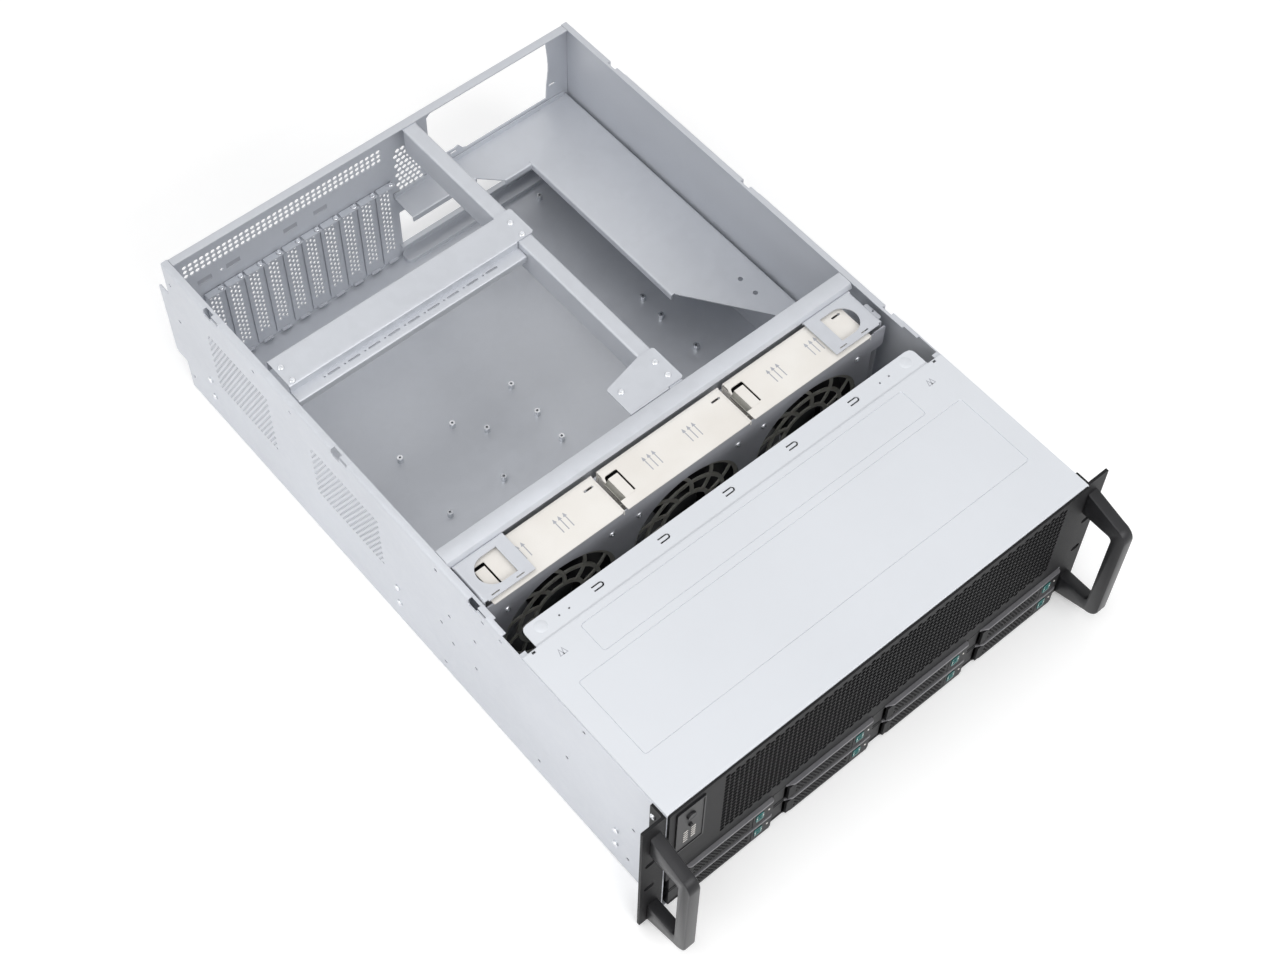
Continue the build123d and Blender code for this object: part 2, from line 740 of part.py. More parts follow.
cage -= block(-column_pitch * 2 - 0.4, column_pitch * 2 + 0.4, board_y - 0.4, cage_rear,
              sheet, cage_top - 1)
save("drive_cage", cage)

# Backplane behind the carriers: board, air gaps and one connector per carrier
board_half = column_pitch * 2
board_gaps = []
for i in range(4):
    left_x = column_edges[i]
    board_gaps.append(rectangle(left_x + 8, left_x + 46, row_zs[0] + 5, row_zs[1] + 21))
board = plate("front", board_y, box_outline(-board_half, board_half, sheet + 0.3,
                                            cage_top - 1.3), board_gaps, board_thick)
for i in range(4):
    for z in row_zs:
        x = column_edges[i] + 54
        board += block(x, x + 42, board_y - 7, board_y, z + 5, z + 11)
save("drive_backplane", board)


# Drive carrier frame: housing lips, latch housing, side rails, drive ledges and rear bar
def drive_tray():
    lip_outline = [(left_block, housing_back), (left_block, -0.4), (15.6, -2.2),
                   (20.5, tray_face), (tray_width, tray_face), (tray_width, housing_back)]
    bore = [hole(pin_x, pin_y, pin_bore_r, pin_sides)]
    tray = block(0, left_block, -0.4, housing_back, 0, tray_height)
    tray += plate("flat", 0, lip_outline, bore, lip_height)
    tray += plate("flat", tray_height - lip_height, lip_outline, bore, lip_height)
    half = button_width / 2 + fit_gap
    half_high = button_height / 2 + fit_gap
    mid = tray_height / 2
    window = rectangle(button_x - half, button_x + half, mid - half_high, mid + half_high)
    face = plate("front", tray_face,
                 box_outline(right_block, tray_width, lip_height, tray_height - lip_height),
                 [window], 5.6)
    tray += face
    rails_z0 = 3.0
    rails_z1 = 22.0
    for x in (0, tray_width - rail_thick):
        tray += block(x, x + rail_thick, housing_back, tray_depth, rails_z0, rails_z1)
    for x0, x1 in ((rail_thick, 6.0), (tray_width - 6.0, tray_width - rail_thick)):
        tray += block(x0, x1, housing_back, tray_depth, rails_z0, rails_z0 + 1.2)
    tray += block(0, tray_width, tray_depth - 4, tray_depth, rails_z0, rails_z0 + 2)
    return tray


# Pull lever: a door in plan with a knuckle rounded about the pin, windows and a hook
def knuckle_point(degrees):
    angle = degrees * pi / 180
    return (pin_x + knuckle_r * cos(angle), pin_y + knuckle_r * sin(angle), 0)


def drive_lever():
    low = lip_height + 0.4
    high = tray_height - lip_height - 0.4
    front = tray_face - 0.2
    back = front + lever_thick
    start = knuckle_point(45)
    end = knuckle_point(135)
    straight = Polyline(end, (lever_left, back, 0), (lever_left, front, 0), (lever_right, front, 0),
                        (lever_right, back, 0), (pin_x + 3.6, back, 0), start)
    profile = make_face([*straight.edges(), ThreePointArc(start, knuckle_point(90), end)])
    lever = Pos(0, 0, low) * extrude(profile, high - low, dir=(0, 0, 1))
    for x, z in grid(lever_left + 8, lever_right - 3, 2, low, high, 1):
        lever -= block(x - 13, x + 13, front, back, z - 7, z + 7)
    lever += Pos(pin_x, pin_y, 1.0) * extrude(RegularPolygon(pin_r, pin_sides), tray_height - 2.0)
    lever += block(lever_right - 3.2, lever_right, back, 4.0, 10.4, 15.2)
    return lever


def drive_button():
    mid = tray_height / 2
    body = block(button_x - button_width / 2, button_x + button_width / 2, tray_face - 0.6, 3.0,
                 mid - button_height / 2, mid + button_height / 2)
    body += block(button_x - button_width / 2, button_x + button_width / 2 + 1.2, 2.8, 4.2,
                  mid - button_height / 2 - 1.4, mid + button_height / 2 + 1.4)
    return body


tray_shape = drive_tray()
lever_shape = drive_lever()
latch_shape = drive_button()
number = 0
for z in row_zs:
    for column in range(4):
        number += 1
        spot = Pos(column_edges[column] + (column_pitch - tray_width) / 2, 0, z)
        save("drive_tray_" + str(number), spot * tray_shape)
        save("drive_lever_" + str(number), spot * lever_shape)
        save("drive_button_" + str(number), spot * latch_shape)


# Rack ears with slotted fixing holes and a side flange, and the pull handles
def ear():
    gaps = [slot(ear_slot_x, z, ear_slot_length / 2 - ear_slot_r, ear_slot_r)
            for z in ear_slot_zs]
    shape = plate("front", ear_front, cut_corners(half_width, ear_outer, 0, body_height, 1.5),
                  gaps, ear_thick)
    shape += block(half_width, half_width + 2.2, ear_front + ear_thick, ear_flange_rear,
                   1.5, body_height - 1.5)
    for z in (body_height - 16, 20):
        shape -= Pos(half_width, 13, z) * Rot(0, 90, 0) * extrude(RegularPolygon(screw_hole_r, 6), 2.2)
    return shape


def handle():
    low = handle_low
    high = handle_high
    outline = [
        (ear_front, low), (handle_grip, low + 11), (handle_face + 6, low + 15.5),
        (handle_face + 1.5, low + 20), (handle_face, low + 27), (handle_face, high - 27),
        (handle_face + 1.5, high - 20), (handle_face + 6, high - 15.5), (handle_grip, high - 11),
        (ear_front, high), (ear_front, grip_high), (handle_grip + 4, grip_high),
        (handle_grip + 1.2, grip_high - 1), (handle_grip, grip_high - 4),
        (handle_grip, grip_low + 4), (handle_grip + 1.2, grip_low + 1), (handle_grip + 4, grip_low),
        (ear_front, grip_low),
    ]
    grip = plate("side", handle_inner, outline, (), handle_width)
    long_edges = grip.edges().filter_by(
        lambda e: e.center().Y < handle_grip - 0.5 and abs(e.tangent_at(0.5).X) < 0.01)
    return chamfer(long_edges, 0.8)


ear_shape = ear()
handle_shape = handle()
save("ear_right", ear_shape)
save("ear_left", mirrored(ear_shape))
save("handle_right", handle_shape)
save("handle_left", mirrored(handle_shape))


# Screws: a hexagonal head and a short shank
def screw(length):
    shape = extrude(RegularPolygon(screw_head_r, 6), screw_head_h)
    return shape + Pos(0, 0, -length) * extrude(RegularPolygon(screw_r, 6), length)


screws = [Pos(x, y, body_height) * screw(sheet) for x, y in top_screws]
tab_y = rear_y - fit_gap - sheet - 3.0
screws += [Pos(x + cover_screw_x, tab_y, cover_tab_z) * screw(sheet) for x in slot_xs]
save_group("screws", screws)

# Board standoffs on the floor and rail studs on both side walls
studs = []
for x, ahead in standoff_points:
    spot = Pos(x, body_depth - ahead, sheet)
    studs.append(spot * extrude(RegularPolygon(standoff_r, 6), standoff_h))
for s in (-1, 1):
    for y in rail_stud_ys:
        for z in rail_stud_zs:
            x0, x1 = sorted((s * half_width, s * (half_width + rail_stud_out)))
            studs.append(Pos(x0, y, z) * Rot(0, 90, 0)
                         * extrude(RegularPolygon(rail_stud_r, 6), rail_stud_out))
save_group("press_studs", studs)
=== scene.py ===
from math import cos, pi, radians, sin, sqrt

import bmesh
import bpy
from mathutils import Matrix, Vector


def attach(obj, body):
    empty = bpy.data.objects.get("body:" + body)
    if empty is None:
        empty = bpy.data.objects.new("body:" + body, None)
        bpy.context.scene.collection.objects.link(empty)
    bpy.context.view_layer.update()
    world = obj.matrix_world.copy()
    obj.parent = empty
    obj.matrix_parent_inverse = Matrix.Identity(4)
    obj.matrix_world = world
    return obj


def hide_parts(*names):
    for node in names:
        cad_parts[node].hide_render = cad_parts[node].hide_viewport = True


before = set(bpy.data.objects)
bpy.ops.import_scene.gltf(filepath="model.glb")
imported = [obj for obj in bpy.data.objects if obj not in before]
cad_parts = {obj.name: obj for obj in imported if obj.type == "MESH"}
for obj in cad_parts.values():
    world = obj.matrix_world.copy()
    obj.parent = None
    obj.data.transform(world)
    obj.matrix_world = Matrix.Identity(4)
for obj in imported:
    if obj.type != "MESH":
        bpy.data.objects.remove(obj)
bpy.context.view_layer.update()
mm = 0.001
caseDepth = 650.0    # front face to back, so pieces can be drawn from the front face
caseTop = 176.0      # highest face of the folded sheets
sheet = 1.2          # thickness of the case's sheet
span = 212.1         # half the length of what fits between the rolled rims
print("frame loaded")


# Colours are written as sRGB hex and turned linear here
def linear(hexColour):
    parts = [int(hexColour[i:i + 2], 16) / 255 for i in (1, 3, 5)]
    values = [p / 12.92 if p <= 0.04045 else ((p + 0.055) / 1.055) ** 2.4 for p in parts]
    return (*values, 1.0)


# One node with its settings and its links, each link as (input, from node, output)
def addNode(tree, kind, settings=(), links=()):
    node = tree.nodes.new(kind)
    for key, value in dict(settings).items():
        if isinstance(key, str) and hasattr(node, key):
            setattr(node, key, value)
        else:
            node.inputs[key].default_value = value
    for socket, source, output in links:
        tree.links.new(source.outputs[output], node.inputs[socket])
    return node


# What all finishes share: the shader's own values and a slow change between two tones
def startMaterial(look, detail):
    material = bpy.data.materials.new(look["made"])
    material.use_nodes = True
    tree = material.node_tree
    shader = tree.nodes["Principled BSDF"]
    shader.inputs["Metallic"].default_value = look["metallic"]
    shader.inputs["Specular IOR Level"].default_value = look["shine"]
    place = addNode(tree, "ShaderNodeNewGeometry")
    cloud = addNode(tree, "ShaderNodeTexNoise",
                    {"Scale": 1 / (look["cloud"] * mm), "Detail": detail},
                    [("Vector", place, "Position")])
    spread = addNode(tree, "ShaderNodeMapRange", {"From Min": 0.35, "From Max": 0.65},
                     [("Value", cloud, 0)])
    tone = addNode(tree, "ShaderNodeMix", {"data_type": "RGBA", 6: linear(look["dark"]),
                                           7: linear(look["light"])}, [(0, spread, 0)])
    return material, place, tone


# The fine pattern varies tone and roughness, and the relief gives the bump
def addPattern(material, look, tone, fine, reach, roughSpan, relief):
    tree = material.node_tree
    vary = addNode(tree, "ShaderNodeMapRange",
                   {"From Min": reach[0], "From Max": reach[1],
                    "To Min": 1 - look["speck"], "To Max": 1 + look["speck"]},
                   [("Value", fine, 0)])
    colour = addNode(tree, "ShaderNodeVectorMath", {"operation": "SCALE"},
                     [(0, tone, 2), ("Scale", vary, 0)])
    rough = addNode(tree, "ShaderNodeMapRange", {"To Min": look["rough"] + roughSpan[0],
                                                 "To Max": look["rough"] + roughSpan[1]},
                    [("Value", fine, 0)])
    bump = addNode(tree, "ShaderNodeBump", {"Strength": look["bump"], "Distance": 0.1 * mm},
                   [("Height", relief, 0)])
    shader = tree.nodes["Principled BSDF"]
    for source, socket in ((colour, "Base Color"), (rough, "Roughness"), (bump, "Normal")):
        tree.links.new(source.outputs[0], shader.inputs[socket])


# Paint, moulding and plating: a fine grain shows in tone, roughness and bump
def finishMaterial(look):
    material, place, tone = startMaterial(look, 3.0)
    grain = addNode(material.node_tree, "ShaderNodeTexNoise",
                    {"Scale": 1 / (look["grain"] * mm), "Detail": 2.0},
                    [("Vector", place, "Position")])
    addPattern(material, look, tone, grain, (0.3, 0.7), (-0.07, 0.07), grain)
    return material


# Zinc coated sheet: blue grey with faint crystals of a few millimetres and fine rolling lines
zincLook = {
    "made": "zinc_coated_steel_rolled", "dark": "#c3c6cc", "light": "#cacdd3", "metallic": 0.35,
    "rough": 0.4, "shine": 0.5, "crystal": 7.0, "speck": 0.012, "cloud": 160.0, "line": 0.6,
    "stretch": (0.04, 1.0, 1.0), "bump": 0.04,
}
# The cover's sheet, skin passed after coating: smoother, nearly without crystals, and paler; the
# paler tone is in part painted highlight for the stronger light on the cover's top
coverSheetAndHighlightLook = {
    **zincLook, "made": "zinc_skin_passed_and_painted_highlight", "dark": "#d2d5da", "light": "#d6d9de",
    "metallic": 0.15, "rough": 0.55, "crystal": 5.0, "speck": 0.005, "cloud": 220.0, "bump": 0.03,
}


# The crystals show in tone and roughness, the rolling lines along x only in the bump
def zincMaterial(look):
    material, place, tone = startMaterial(look, 4.0)
    tree = material.node_tree
    crystal = addNode(tree, "ShaderNodeTexVoronoi", {"Scale": 1 / (look["crystal"] * mm)},
                      [("Vector", place, "Position")])
    grey = addNode(tree, "ShaderNodeSeparateColor", (), [(0, crystal, "Color")])
    lines = addNode(tree, "ShaderNodeMapping", {"Scale": look["stretch"]},
                    [("Vector", place, "Position")])
    rolled = addNode(tree, "ShaderNodeTexNoise", {"Scale": 1 / (look["line"] * mm), "Detail": 2.0},
                     [("Vector", lines, 0)])
    addPattern(material, look, tone, grey, (0.0, 1.0), (-0.05, 0.06), rolled)
    return material


# The other finishes, each under the name of its slot in the record
looks = {
    # satin enamel on the fan plate: mid grey with the faint orange peel of a spray gun
    "grey_paint": {"made": "satin_grey_enamel_sprayed", "dark": "#a5a7ae", "light": "#aeb0b7",
                   "metallic": 0.1, "rough": 0.42, "shine": 0.5, "cloud": 40.0, "grain": 1.2,
                   "speck": 0.03, "bump": 0.15},
    # polyester powder on the bezel, ears and levers: a fine gritty skin that dulls the light
    "black_paint": {"made": "black_powder_coat_baked", "dark": "#0f0f11", "light": "#141416",
                    "metallic": 0.0, "rough": 0.55, "shine": 0.22, "cloud": 30.0, "grain": 0.8,
                    "speck": 0.12, "bump": 0.5},
    # the carriers' powder coat, a little smoother
    "carrier_paint": {"made": "charcoal_powder_coat_baked", "dark": "#121214", "light": "#171719",
                      "metallic": 0.0, "rough": 0.48, "shine": 0.24, "cloud": 25.0, "grain": 0.8,
                      "speck": 0.1, "bump": 0.4},
    # aluminium of the handles, nearly black with a soft sheen
    "handle_finish": {"made": "aluminium_anodised_dark", "dark": "#262628", "light": "#2d2d2f",
                      "metallic": 0.2, "rough": 0.34, "shine": 0.3, "cloud": 30.0, "grain": 0.5,
                      "speck": 0.06, "bump": 0.12},
    # the buttons and the control strip, with a satin moulded skin
    "black_plastic": {"made": "abs_black_moulded", "dark": "#161618", "light": "#1c1c1e",
                      "metallic": 0.0, "rough": 0.4, "shine": 0.3, "cloud": 15.0, "grain": 0.5,
                      "speck": 0.06, "bump": 0.2},
    # the latch plates: warm white, smooth and a little glossy
    "cream_paint": {"made": "cream_enamel_sprayed", "dark": "#e3dfd9", "light": "#e9e6e1",
                    "metallic": 0.0, "rough": 0.38, "shine": 0.5, "cloud": 50.0, "grain": 1.0,
                    "speck": 0.01, "bump": 0.06},
    # the finger guards: grey brown and slightly mottled from the glass in it
    "guard_plastic": {"made": "glass_filled_nylon_moulded", "dark": "#8b8a83", "light": "#979690",
                      "metallic": 0.0, "rough": 0.45, "shine": 0.5, "cloud": 12.0, "grain": 0.6,
                      "speck": 0.05, "bump": 0.2},
    # frames and rotors of the fans: near black with a dull shine
    "fan_plastic": {"made": "pbt_black_moulded", "dark": "#151517", "light": "#1b1b1e",
                    "metallic": 0.0, "rough": 0.42, "shine": 0.3, "cloud": 20.0, "grain": 0.6,
                    "speck": 0.05, "bump": 0.15},
    # the drive latches: blue green, glossy and slightly uneven
    "teal_plastic": {"made": "abs_teal_moulded", "dark": "#1f5f5d", "light": "#2b7370",
                     "metallic": 0.0, "rough": 0.25, "shine": 0.5, "cloud": 6.0, "grain": 0.5,
                     "speck": 0.04, "bump": 0.08},
    # green solder mask over the glass weave of the backplane
    "circuit_board": {"made": "fr4_board_green_mask", "dark": "#1b5037", "light": "#256446",
                      "metallic": 0.0, "rough": 0.35, "shine": 0.5, "cloud": 20.0, "grain": 0.9,
                      "speck": 0.08, "bump": 0.2},
    # screws and studs, bright with fine turning marks
    "bright_steel": {"made": "steel_nickel_plated", "dark": "#d2d4d8", "light": "#e9ebee",
                     "metallic": 0.85, "rough": 0.24, "shine": 0.5, "cloud": 3.0, "grain": 0.3,
                     "speck": 0.03, "bump": 0.1},
}
# The carriers' top strips: a paler satin metal finish, a painted highlight for the light their top
# faces catch, that draws a light line under the grille
stripHighlightLook = {"made": "paler_strip_painted_highlight", "dark": "#7c7b7f", "light": "#878689",
             "metallic": 0.4, "rough": 0.38, "shine": 0.5, "cloud": 25.0, "grain": 0.5,
             "speck": 0.06, "bump": 0.12}
finish = {name: finishMaterial(look) for name, look in looks.items()}
finish["zinc_steel"] = zincMaterial(zincLook)
finish["cover_sheet_and_painted_highlight"] = zincMaterial(coverSheetAndHighlightLook)
finish["strip_metal"] = finishMaterial(stripHighlightLook)

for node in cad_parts.values():
    for holder in node.material_slots:
        base = holder.material.name.split(".")[0]
        if base in finish:
            holder.material = finish[base]
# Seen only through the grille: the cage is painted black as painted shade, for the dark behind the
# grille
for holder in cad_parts["drive_cage"].material_slots:
    holder.material = finish["black_paint"]
print("materials made")

# How a flat drawing (u, v) with its thickness w lies in the case: x, y, z as rows of u, v, w
facings = {
    "flat": Matrix(((1, 0, 0), (0, 1, 0), (0, 0, 1))),
    "front": Matrix(((1, 0, 0), (0, 0, -1), (0, 1, 0))),
    "side": Matrix(((0, 0, 1), (1, 0, 0), (0, 1, 0))),
}
levelAxis = {"flat": 2, "front": 1, "side": 0}


# A plate of any outline with any holes, its lower face at the level given, all in millimetres
def plate(facing, level, outline, holes=(), thick=sheet):
    drawing = bpy.data.curves.new("drawing", "CURVE")
    drawing.dimensions = "2D"
    drawing.fill_mode = "BOTH"
    drawing.extrude = thick / 2
    for loop in (outline, *holes):
        spline = drawing.splines.new("POLY")
        spline.points.add(len(loop) - 1)
        for point, (u, v) in zip(spline.points, loop):
            point.co = (u, v, 0, 1)
        spline.use_cyclic_u = True
    holder = bpy.data.objects.new("drawing", drawing)
    mesh = bpy.data.meshes.new_from_object(holder)
    bpy.data.objects.remove(holder)
    bpy.data.curves.remove(drawing)
    shift = Vector((0, 0, 0))
    shift[levelAxis[facing]] = level + thick / 2
    mesh.transform(Matrix.Translation(shift) @ facings[facing].to_4x4())
    return mesh


def boxLoop(u0, u1, v0, v1):
    return [(u0, v0), (u1, v0), (u1, v1), (u0, v1)]


def ringLoop(u, v, r, sides, turn=0.0):
    return [(u + r * cos(turn + 2 * pi * i / sides), v + r * sin(turn + 2 * pi * i / sides))
            for i in range(sides)]


# Points along an arc, its angles in degrees
def arcLoop(u, v, r, start, end, steps):
    angles = [radians(start + (end - start) * i / steps) for i in range(steps + 1)]
    return [(u + r * cos(angle), v + r * sin(angle)) for angle in angles]


# A rectangle with rounded corners
def softLoop(u0, u1, v0, v1, r, steps=4):
    points = []
    for u, v, start in ((u1 - r, v1 - r, 0), (u0 + r, v1 - r, 90), (u0 + r, v0 + r, 180),
                        (u1 - r, v0 + r, 270)):
        points += arcLoop(u, v, r, start, start + 90, steps)
    return points


# The mesh of a finished build
def meshFrom(build):
    mesh = bpy.data.meshes.new("part")
    build.to_mesh(mesh)
    build.free()
    return mesh


# Faces between closed rows of corners, each row joined to the next
def joinRows(build, rows):
    for low, high in zip(rows, rows[1:]):
        for i in range(len(low)):
            build.faces.new((low[i - 1], low[i], high[i], high[i - 1]))


# A block with its edges eased by a small radius
def block(x0, x1, y0, y1, z0, z1, ease=0.2):
    build = bmesh.new()
    bmesh.ops.create_cube(build, size=1.0)
    spot = Matrix.Translation(((x0 + x1) / 2, (y0 + y1) / 2, (z0 + z1) / 2))
    size = Matrix.Diagonal((x1 - x0, y1 - y0, z1 - z0, 1))
    bmesh.ops.transform(build, matrix=spot @ size, verts=build.verts)
    bmesh.ops.bevel(build, geom=build.edges[:], offset=ease, segments=2, affect="EDGES")
    return meshFrom(build)


# A turned shape: profile points are (radius, height) along the axis from the place given
def turned(axis, place, profile, sides=32):
    build = bmesh.new()
    rings = [[build.verts.new((u, v, h)) for u, v in ringLoop(0, 0, r, sides)] for r, h in profile]
    joinRows(build, rings)
    build.faces.new(rings[0])
    build.faces.new(reversed(rings[-1]))
    turn = {"x": Matrix.Rotation(pi / 2, 4, "Y"), "y": Matrix.Rotation(-pi / 2, 4, "X"),
            "z": Matrix.Identity(4)}[axis]
    bmesh.ops.transform(build, matrix=Matrix.Translation(place) @ turn, verts=build.verts)
    return meshFrom(build)


def mirroredMesh(mesh):
    mesh.transform(Matrix.Diagonal((-1, 1, 1, 1)))
    mesh.flip_normals()
    return mesh


# Joins meshes drawn in millimetres from the front face into one piece that rides on a body
def piece(name, meshes, slotName, body, nodes=(), smooth=30, coat=None):
    build = bmesh.new()
    for mesh in meshes:
        build.from_mesh(mesh)
        bpy.data.meshes.remove(mesh)
    bmesh.ops.remove_doubles(build, verts=build.verts, dist=0.0005)
    bmesh.ops.recalc_face_normals(build, faces=build.faces)
    move = Matrix.Scale(mm, 4) @ Matrix.Translation((0, -caseDepth / 2, 0))
    bmesh.ops.transform(build, matrix=move, verts=build.verts)
    whole = bpy.data.meshes.new(name)
    build.to_mesh(whole)
    build.free()
    whole.materials.append(finish[coat or slotName])
    for face in whole.polygons:
        face.use_smooth = True
    whole.set_sharp_from_angle(angle=radians(smooth))
    made = bpy.data.objects.new(name, whole)
    bpy.context.scene.collection.objects.link(made)
    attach(made, body)
    if nodes:
        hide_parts(*nodes)


# The rounded strip at a folded edge, from a level top down a skirt; the run goes along x or y
def foldedEdge(run, start, end, face, inward, top, drop, thick=sheet, bend=1.8, reach=4.0):
    profile = [(0, top - drop)]
    for angle in (90, 68, 45, 22, 0):
        profile.append((bend - bend * sin(radians(angle)), top - bend + bend * cos(radians(angle))))
    profile += [(reach, top), (reach, top - thick), (thick + 0.6, top - thick),
                (thick, top - thick - 0.6), (thick, top - drop)]
    outline = [(face + inward * u, v) for u, v in profile]
    return plate("side" if run == "x" else "front", start, outline, (), end - start)


# A panel set off by a fine pressed line round it, its middle a hair lower than the sheet
def pressedPanel(x0, x1, y0, y1, top, depth, wide):
    build = bmesh.new()
    rings = []
    for inset, z in ((0, top), (wide * 0.4, top - depth), (wide * 0.6, top - depth),
                     (wide, top - depth * 0.15)):
        loop = softLoop(x0 + inset, x1 - inset, y0 + inset, y1 - inset, 2.5, 3)
        rings.append([build.verts.new((x, y, z)) for x, y in loop])
    joinRows(build, rings)
    build.faces.new(rings[-1])
    return meshFrom(build)


# Tub: floor, walls with their fine vents, and the rolled top rims with the cover's hook notches
tub = {
    "half": 219.0, "inner": 217.8, "rimInner": 212.5, "rimNarrow": 214.6, "front": 1.6, "bend": 1.8,
    "rimStart": 191.0, "rimWide": 206.0, "seat": 174.6, "rimLow": 170.0,
    "notches": (221.5, 398.0, 577.0), "notchLength": 10.5, "slotLength": 10.5, "notchLow": 169.0,
    "tailEnd": 666.0, "tail": (37.0, 134.0),
    "vents": ((504.0, 595.0, 65.0, 139.0), (352.0, 445.0, 72.0, 139.0)),
    # the real strokes are about 2 mm and closer together, drawn coarser to hold at this distance
    "ventPitch": 4.6, "ventHole": 1.35,
    "smallHoles": ((261, 109), (274, 82), (260, 65), (228, 114), (275, 13), (230, 66), (151.5, 23),
                   (115, 89), (94, 166), (36, 90), (41.5, 24), (273, 166), (215, 163), (193, 165),
                   (518, 163), (466.5, 162), (642, 103), (642, 154), (643, 21)),
    "fold": ((219, 1.8), (218.5, 0.6), (217.2, 0), (216, 0), (216, 1.2), (217.2, 1.2),
             (217.8, 1.8)),
}


def ventLoops(y0, y1, z0, z1):
    pitch, rise = tub["ventPitch"], tub["ventPitch"] * 0.87
    loops = []
    for j in range(int((z1 - z0) / rise) + 1):
        for i in range(int((y1 - y0) / pitch)):
            y = y0 + (i + 0.25 + 0.5 * (j % 2)) * pitch
            loops.append(ringLoop(y, z0 + j * rise, tub["ventHole"], 8, pi / 8))
    return loops


# The left wall with its rolled rim; the right one is its mirror image
def wallMeshes(holes):
    half, inner, rim = -tub["half"], -tub["inner"], -tub["rimInner"]
    low, seat, front = tub["rimLow"], tub["seat"], tub["front"]
    end, (tailLow, tailHigh) = tub["tailEnd"], tub["tail"]
    outline = [(front, 0), (caseDepth, 0), (caseDepth, tailLow), (end - 3, tailLow),
               (end, tailLow + 3), (end, tailHigh - 3), (end - 3, tailHigh), (caseDepth, tailHigh),
               (caseDepth, low)]
    for y in reversed(tub["notches"]):
        far, foot = y + tub["notchLength"], tub["notchLow"]
        outline += [(far, low), (far, foot + 1), (far - 1, foot), (y + 1, foot), (y, foot + 1),
                    (y, low)]
    outline += [(tub["rimStart"], low), (tub["rimStart"], seat), (front, seat)]
    starts = [tub["rimWide"]] + [y + tub["notchLength"] for y in tub["notches"]]
    ends = [y - tub["slotLength"] for y in tub["notches"]] + [caseDepth]
    rims = [(y0, y1, tub["rimInner"]) for y0, y1 in zip(starts, ends)]
    rims.append((tub["rimStart"], tub["rimWide"], tub["rimNarrow"]))
    meshes = [plate("side", half, outline, holes)]
    meshes += [foldedEdge("y", y0, y1, half, 1, caseTop, caseTop - low, sheet, tub["bend"],
                          tub["half"] - reach) for y0, y1, reach in rims]
    under = caseTop - sheet
    for y in tub["notches"]:
        slot = y - tub["slotLength"]
        meshes += [block(inner, rim, slot, y, under, caseTop, 0.15),
                   block(half, inner, slot, y, low, seat - sheet, 0.15),
                   block(-215, rim, y, y + tub["notchLength"], under, caseTop, 0.15)]
    meshes.append(block(inner, rim, 14, 171, seat - sheet, seat, 0.1))
    return meshes


def caseTub():
    front = tub["front"]
    holes = [ringLoop(y, z, 1.8, 12) for y, z in tub["smallHoles"]]
    for zone in tub["vents"]:
        holes += ventLoops(*zone)
    meshes = [plate("flat", 0, boxLoop(-217.2, 217.2, front, caseDepth))]
    meshes += wallMeshes(holes) + [mirroredMesh(mesh) for mesh in wallMeshes(())]
    for side in (-1, 1):  # the rounded fold between the floor and each wall
        corner = [(side * x, z) for x, z in tub["fold"]]
        meshes.append(plate("front", front, corner, (), caseDepth - front))
    piece("case_tub", meshes, "zinc_steel", "case", ["chassis_tub"])


caseTub()
print("tub made")

# Rear panel: three rows of round vents, four windows, a field of hexagons and the big openings
rear = {
    "face": 648.8, "half": 217.6, "stripLeft": -200.0, "stripPitch": 5.8, "stripColumns": 36,
    "stripRows": (143.5, 149.2, 154.9), "stripHole": 2.35,
    "windows": (-184.5, -155.0, -95.0, -63.0), "windowHalf": 7.15, "windowHeight": (124.0, 130.0),
    "slotFirst": -179.6, "slotPitch": 20.32, "slotCount": 10, "slotHalf": 6.5,
    "slotHeight": (10.0, 104.0), "hexLeft": 21.0, "hexLow": 86.5, "hexPitch": 6.2,
    "hexHole": 2.75, "hexRows": 10, "hexColumns": 5, "ports": (17.5, 176.25, 17.0, 61.45),
    "supply": ((57, 102), (77, 102), (84, 101.5), (89, 103), (94, 96), (98, 94), (192, 94),
               (193, 110), (195.2, 128), (195.5, 136), (195, 145), (193, 167), (64, 167),
               (57, 161)),
    "slits": ((83, 97.6), (199, 108.5)),
}
slotXs = [rear["slotFirst"] + i * rear["slotPitch"] for i in range(rear["slotCount"])]


def rearPanel():
    r, face, half = rear, rear["face"], rear["half"]
    holes = [ringLoop(r["stripLeft"] + i * r["stripPitch"], z, r["stripHole"], 10)
             for i in range(r["stripColumns"]) for z in r["stripRows"]]
    holes += [boxLoop(x - r["windowHalf"], x + r["windowHalf"], *r["windowHeight"])
              for x in r["windows"]]
    holes.append(ringLoop(-167, 127, 1.6, 12))
    for j in range(r["hexRows"]):
        for i in range(r["hexColumns"]):
            x = r["hexLeft"] + (i + 0.5 * (j % 2) - 0.1) * r["hexPitch"] * 0.9
            z = r["hexLow"] + j * r["hexPitch"]
            if x + 0.55 * z < 108 and x < 46:  # the field's right side is cut at a slant
                holes.append(ringLoop(x, z, r["hexHole"], 6, pi / 6))
    holes += [boxLoop(x - r["slotHalf"], x + r["slotHalf"], *r["slotHeight"]) for x in slotXs]
    holes += [softLoop(*r["ports"], 1.0, 2), r["supply"]]
    holes += [softLoop(x - 3.7, x + 3.7, z - 1.2, z + 1.2, 1.15, 3) for x, z in r["slits"]]
    fold = [(650, 174.2), (649.5, 175.5), (648.2, 176), (641, 176), (641, 174.8), (647.9, 174.8),
            (648.6, 174.5), (648.8, 174.2)]
    meshes = [plate("front", face, boxLoop(-half, half, sheet, 174.2), holes),
              plate("side", -span, fold, (), 2 * span),
              block(14.5, 180.25, 644.6, face, 15.8, 17.0, 0.2),
              plate("flat", sheet, softLoop(13.5, 180.25, 634.8, face, 5.5, 5), (), 4.8)]
    piece("rear_wall", meshes, "zinc_steel", "case", ["rear_panel"])


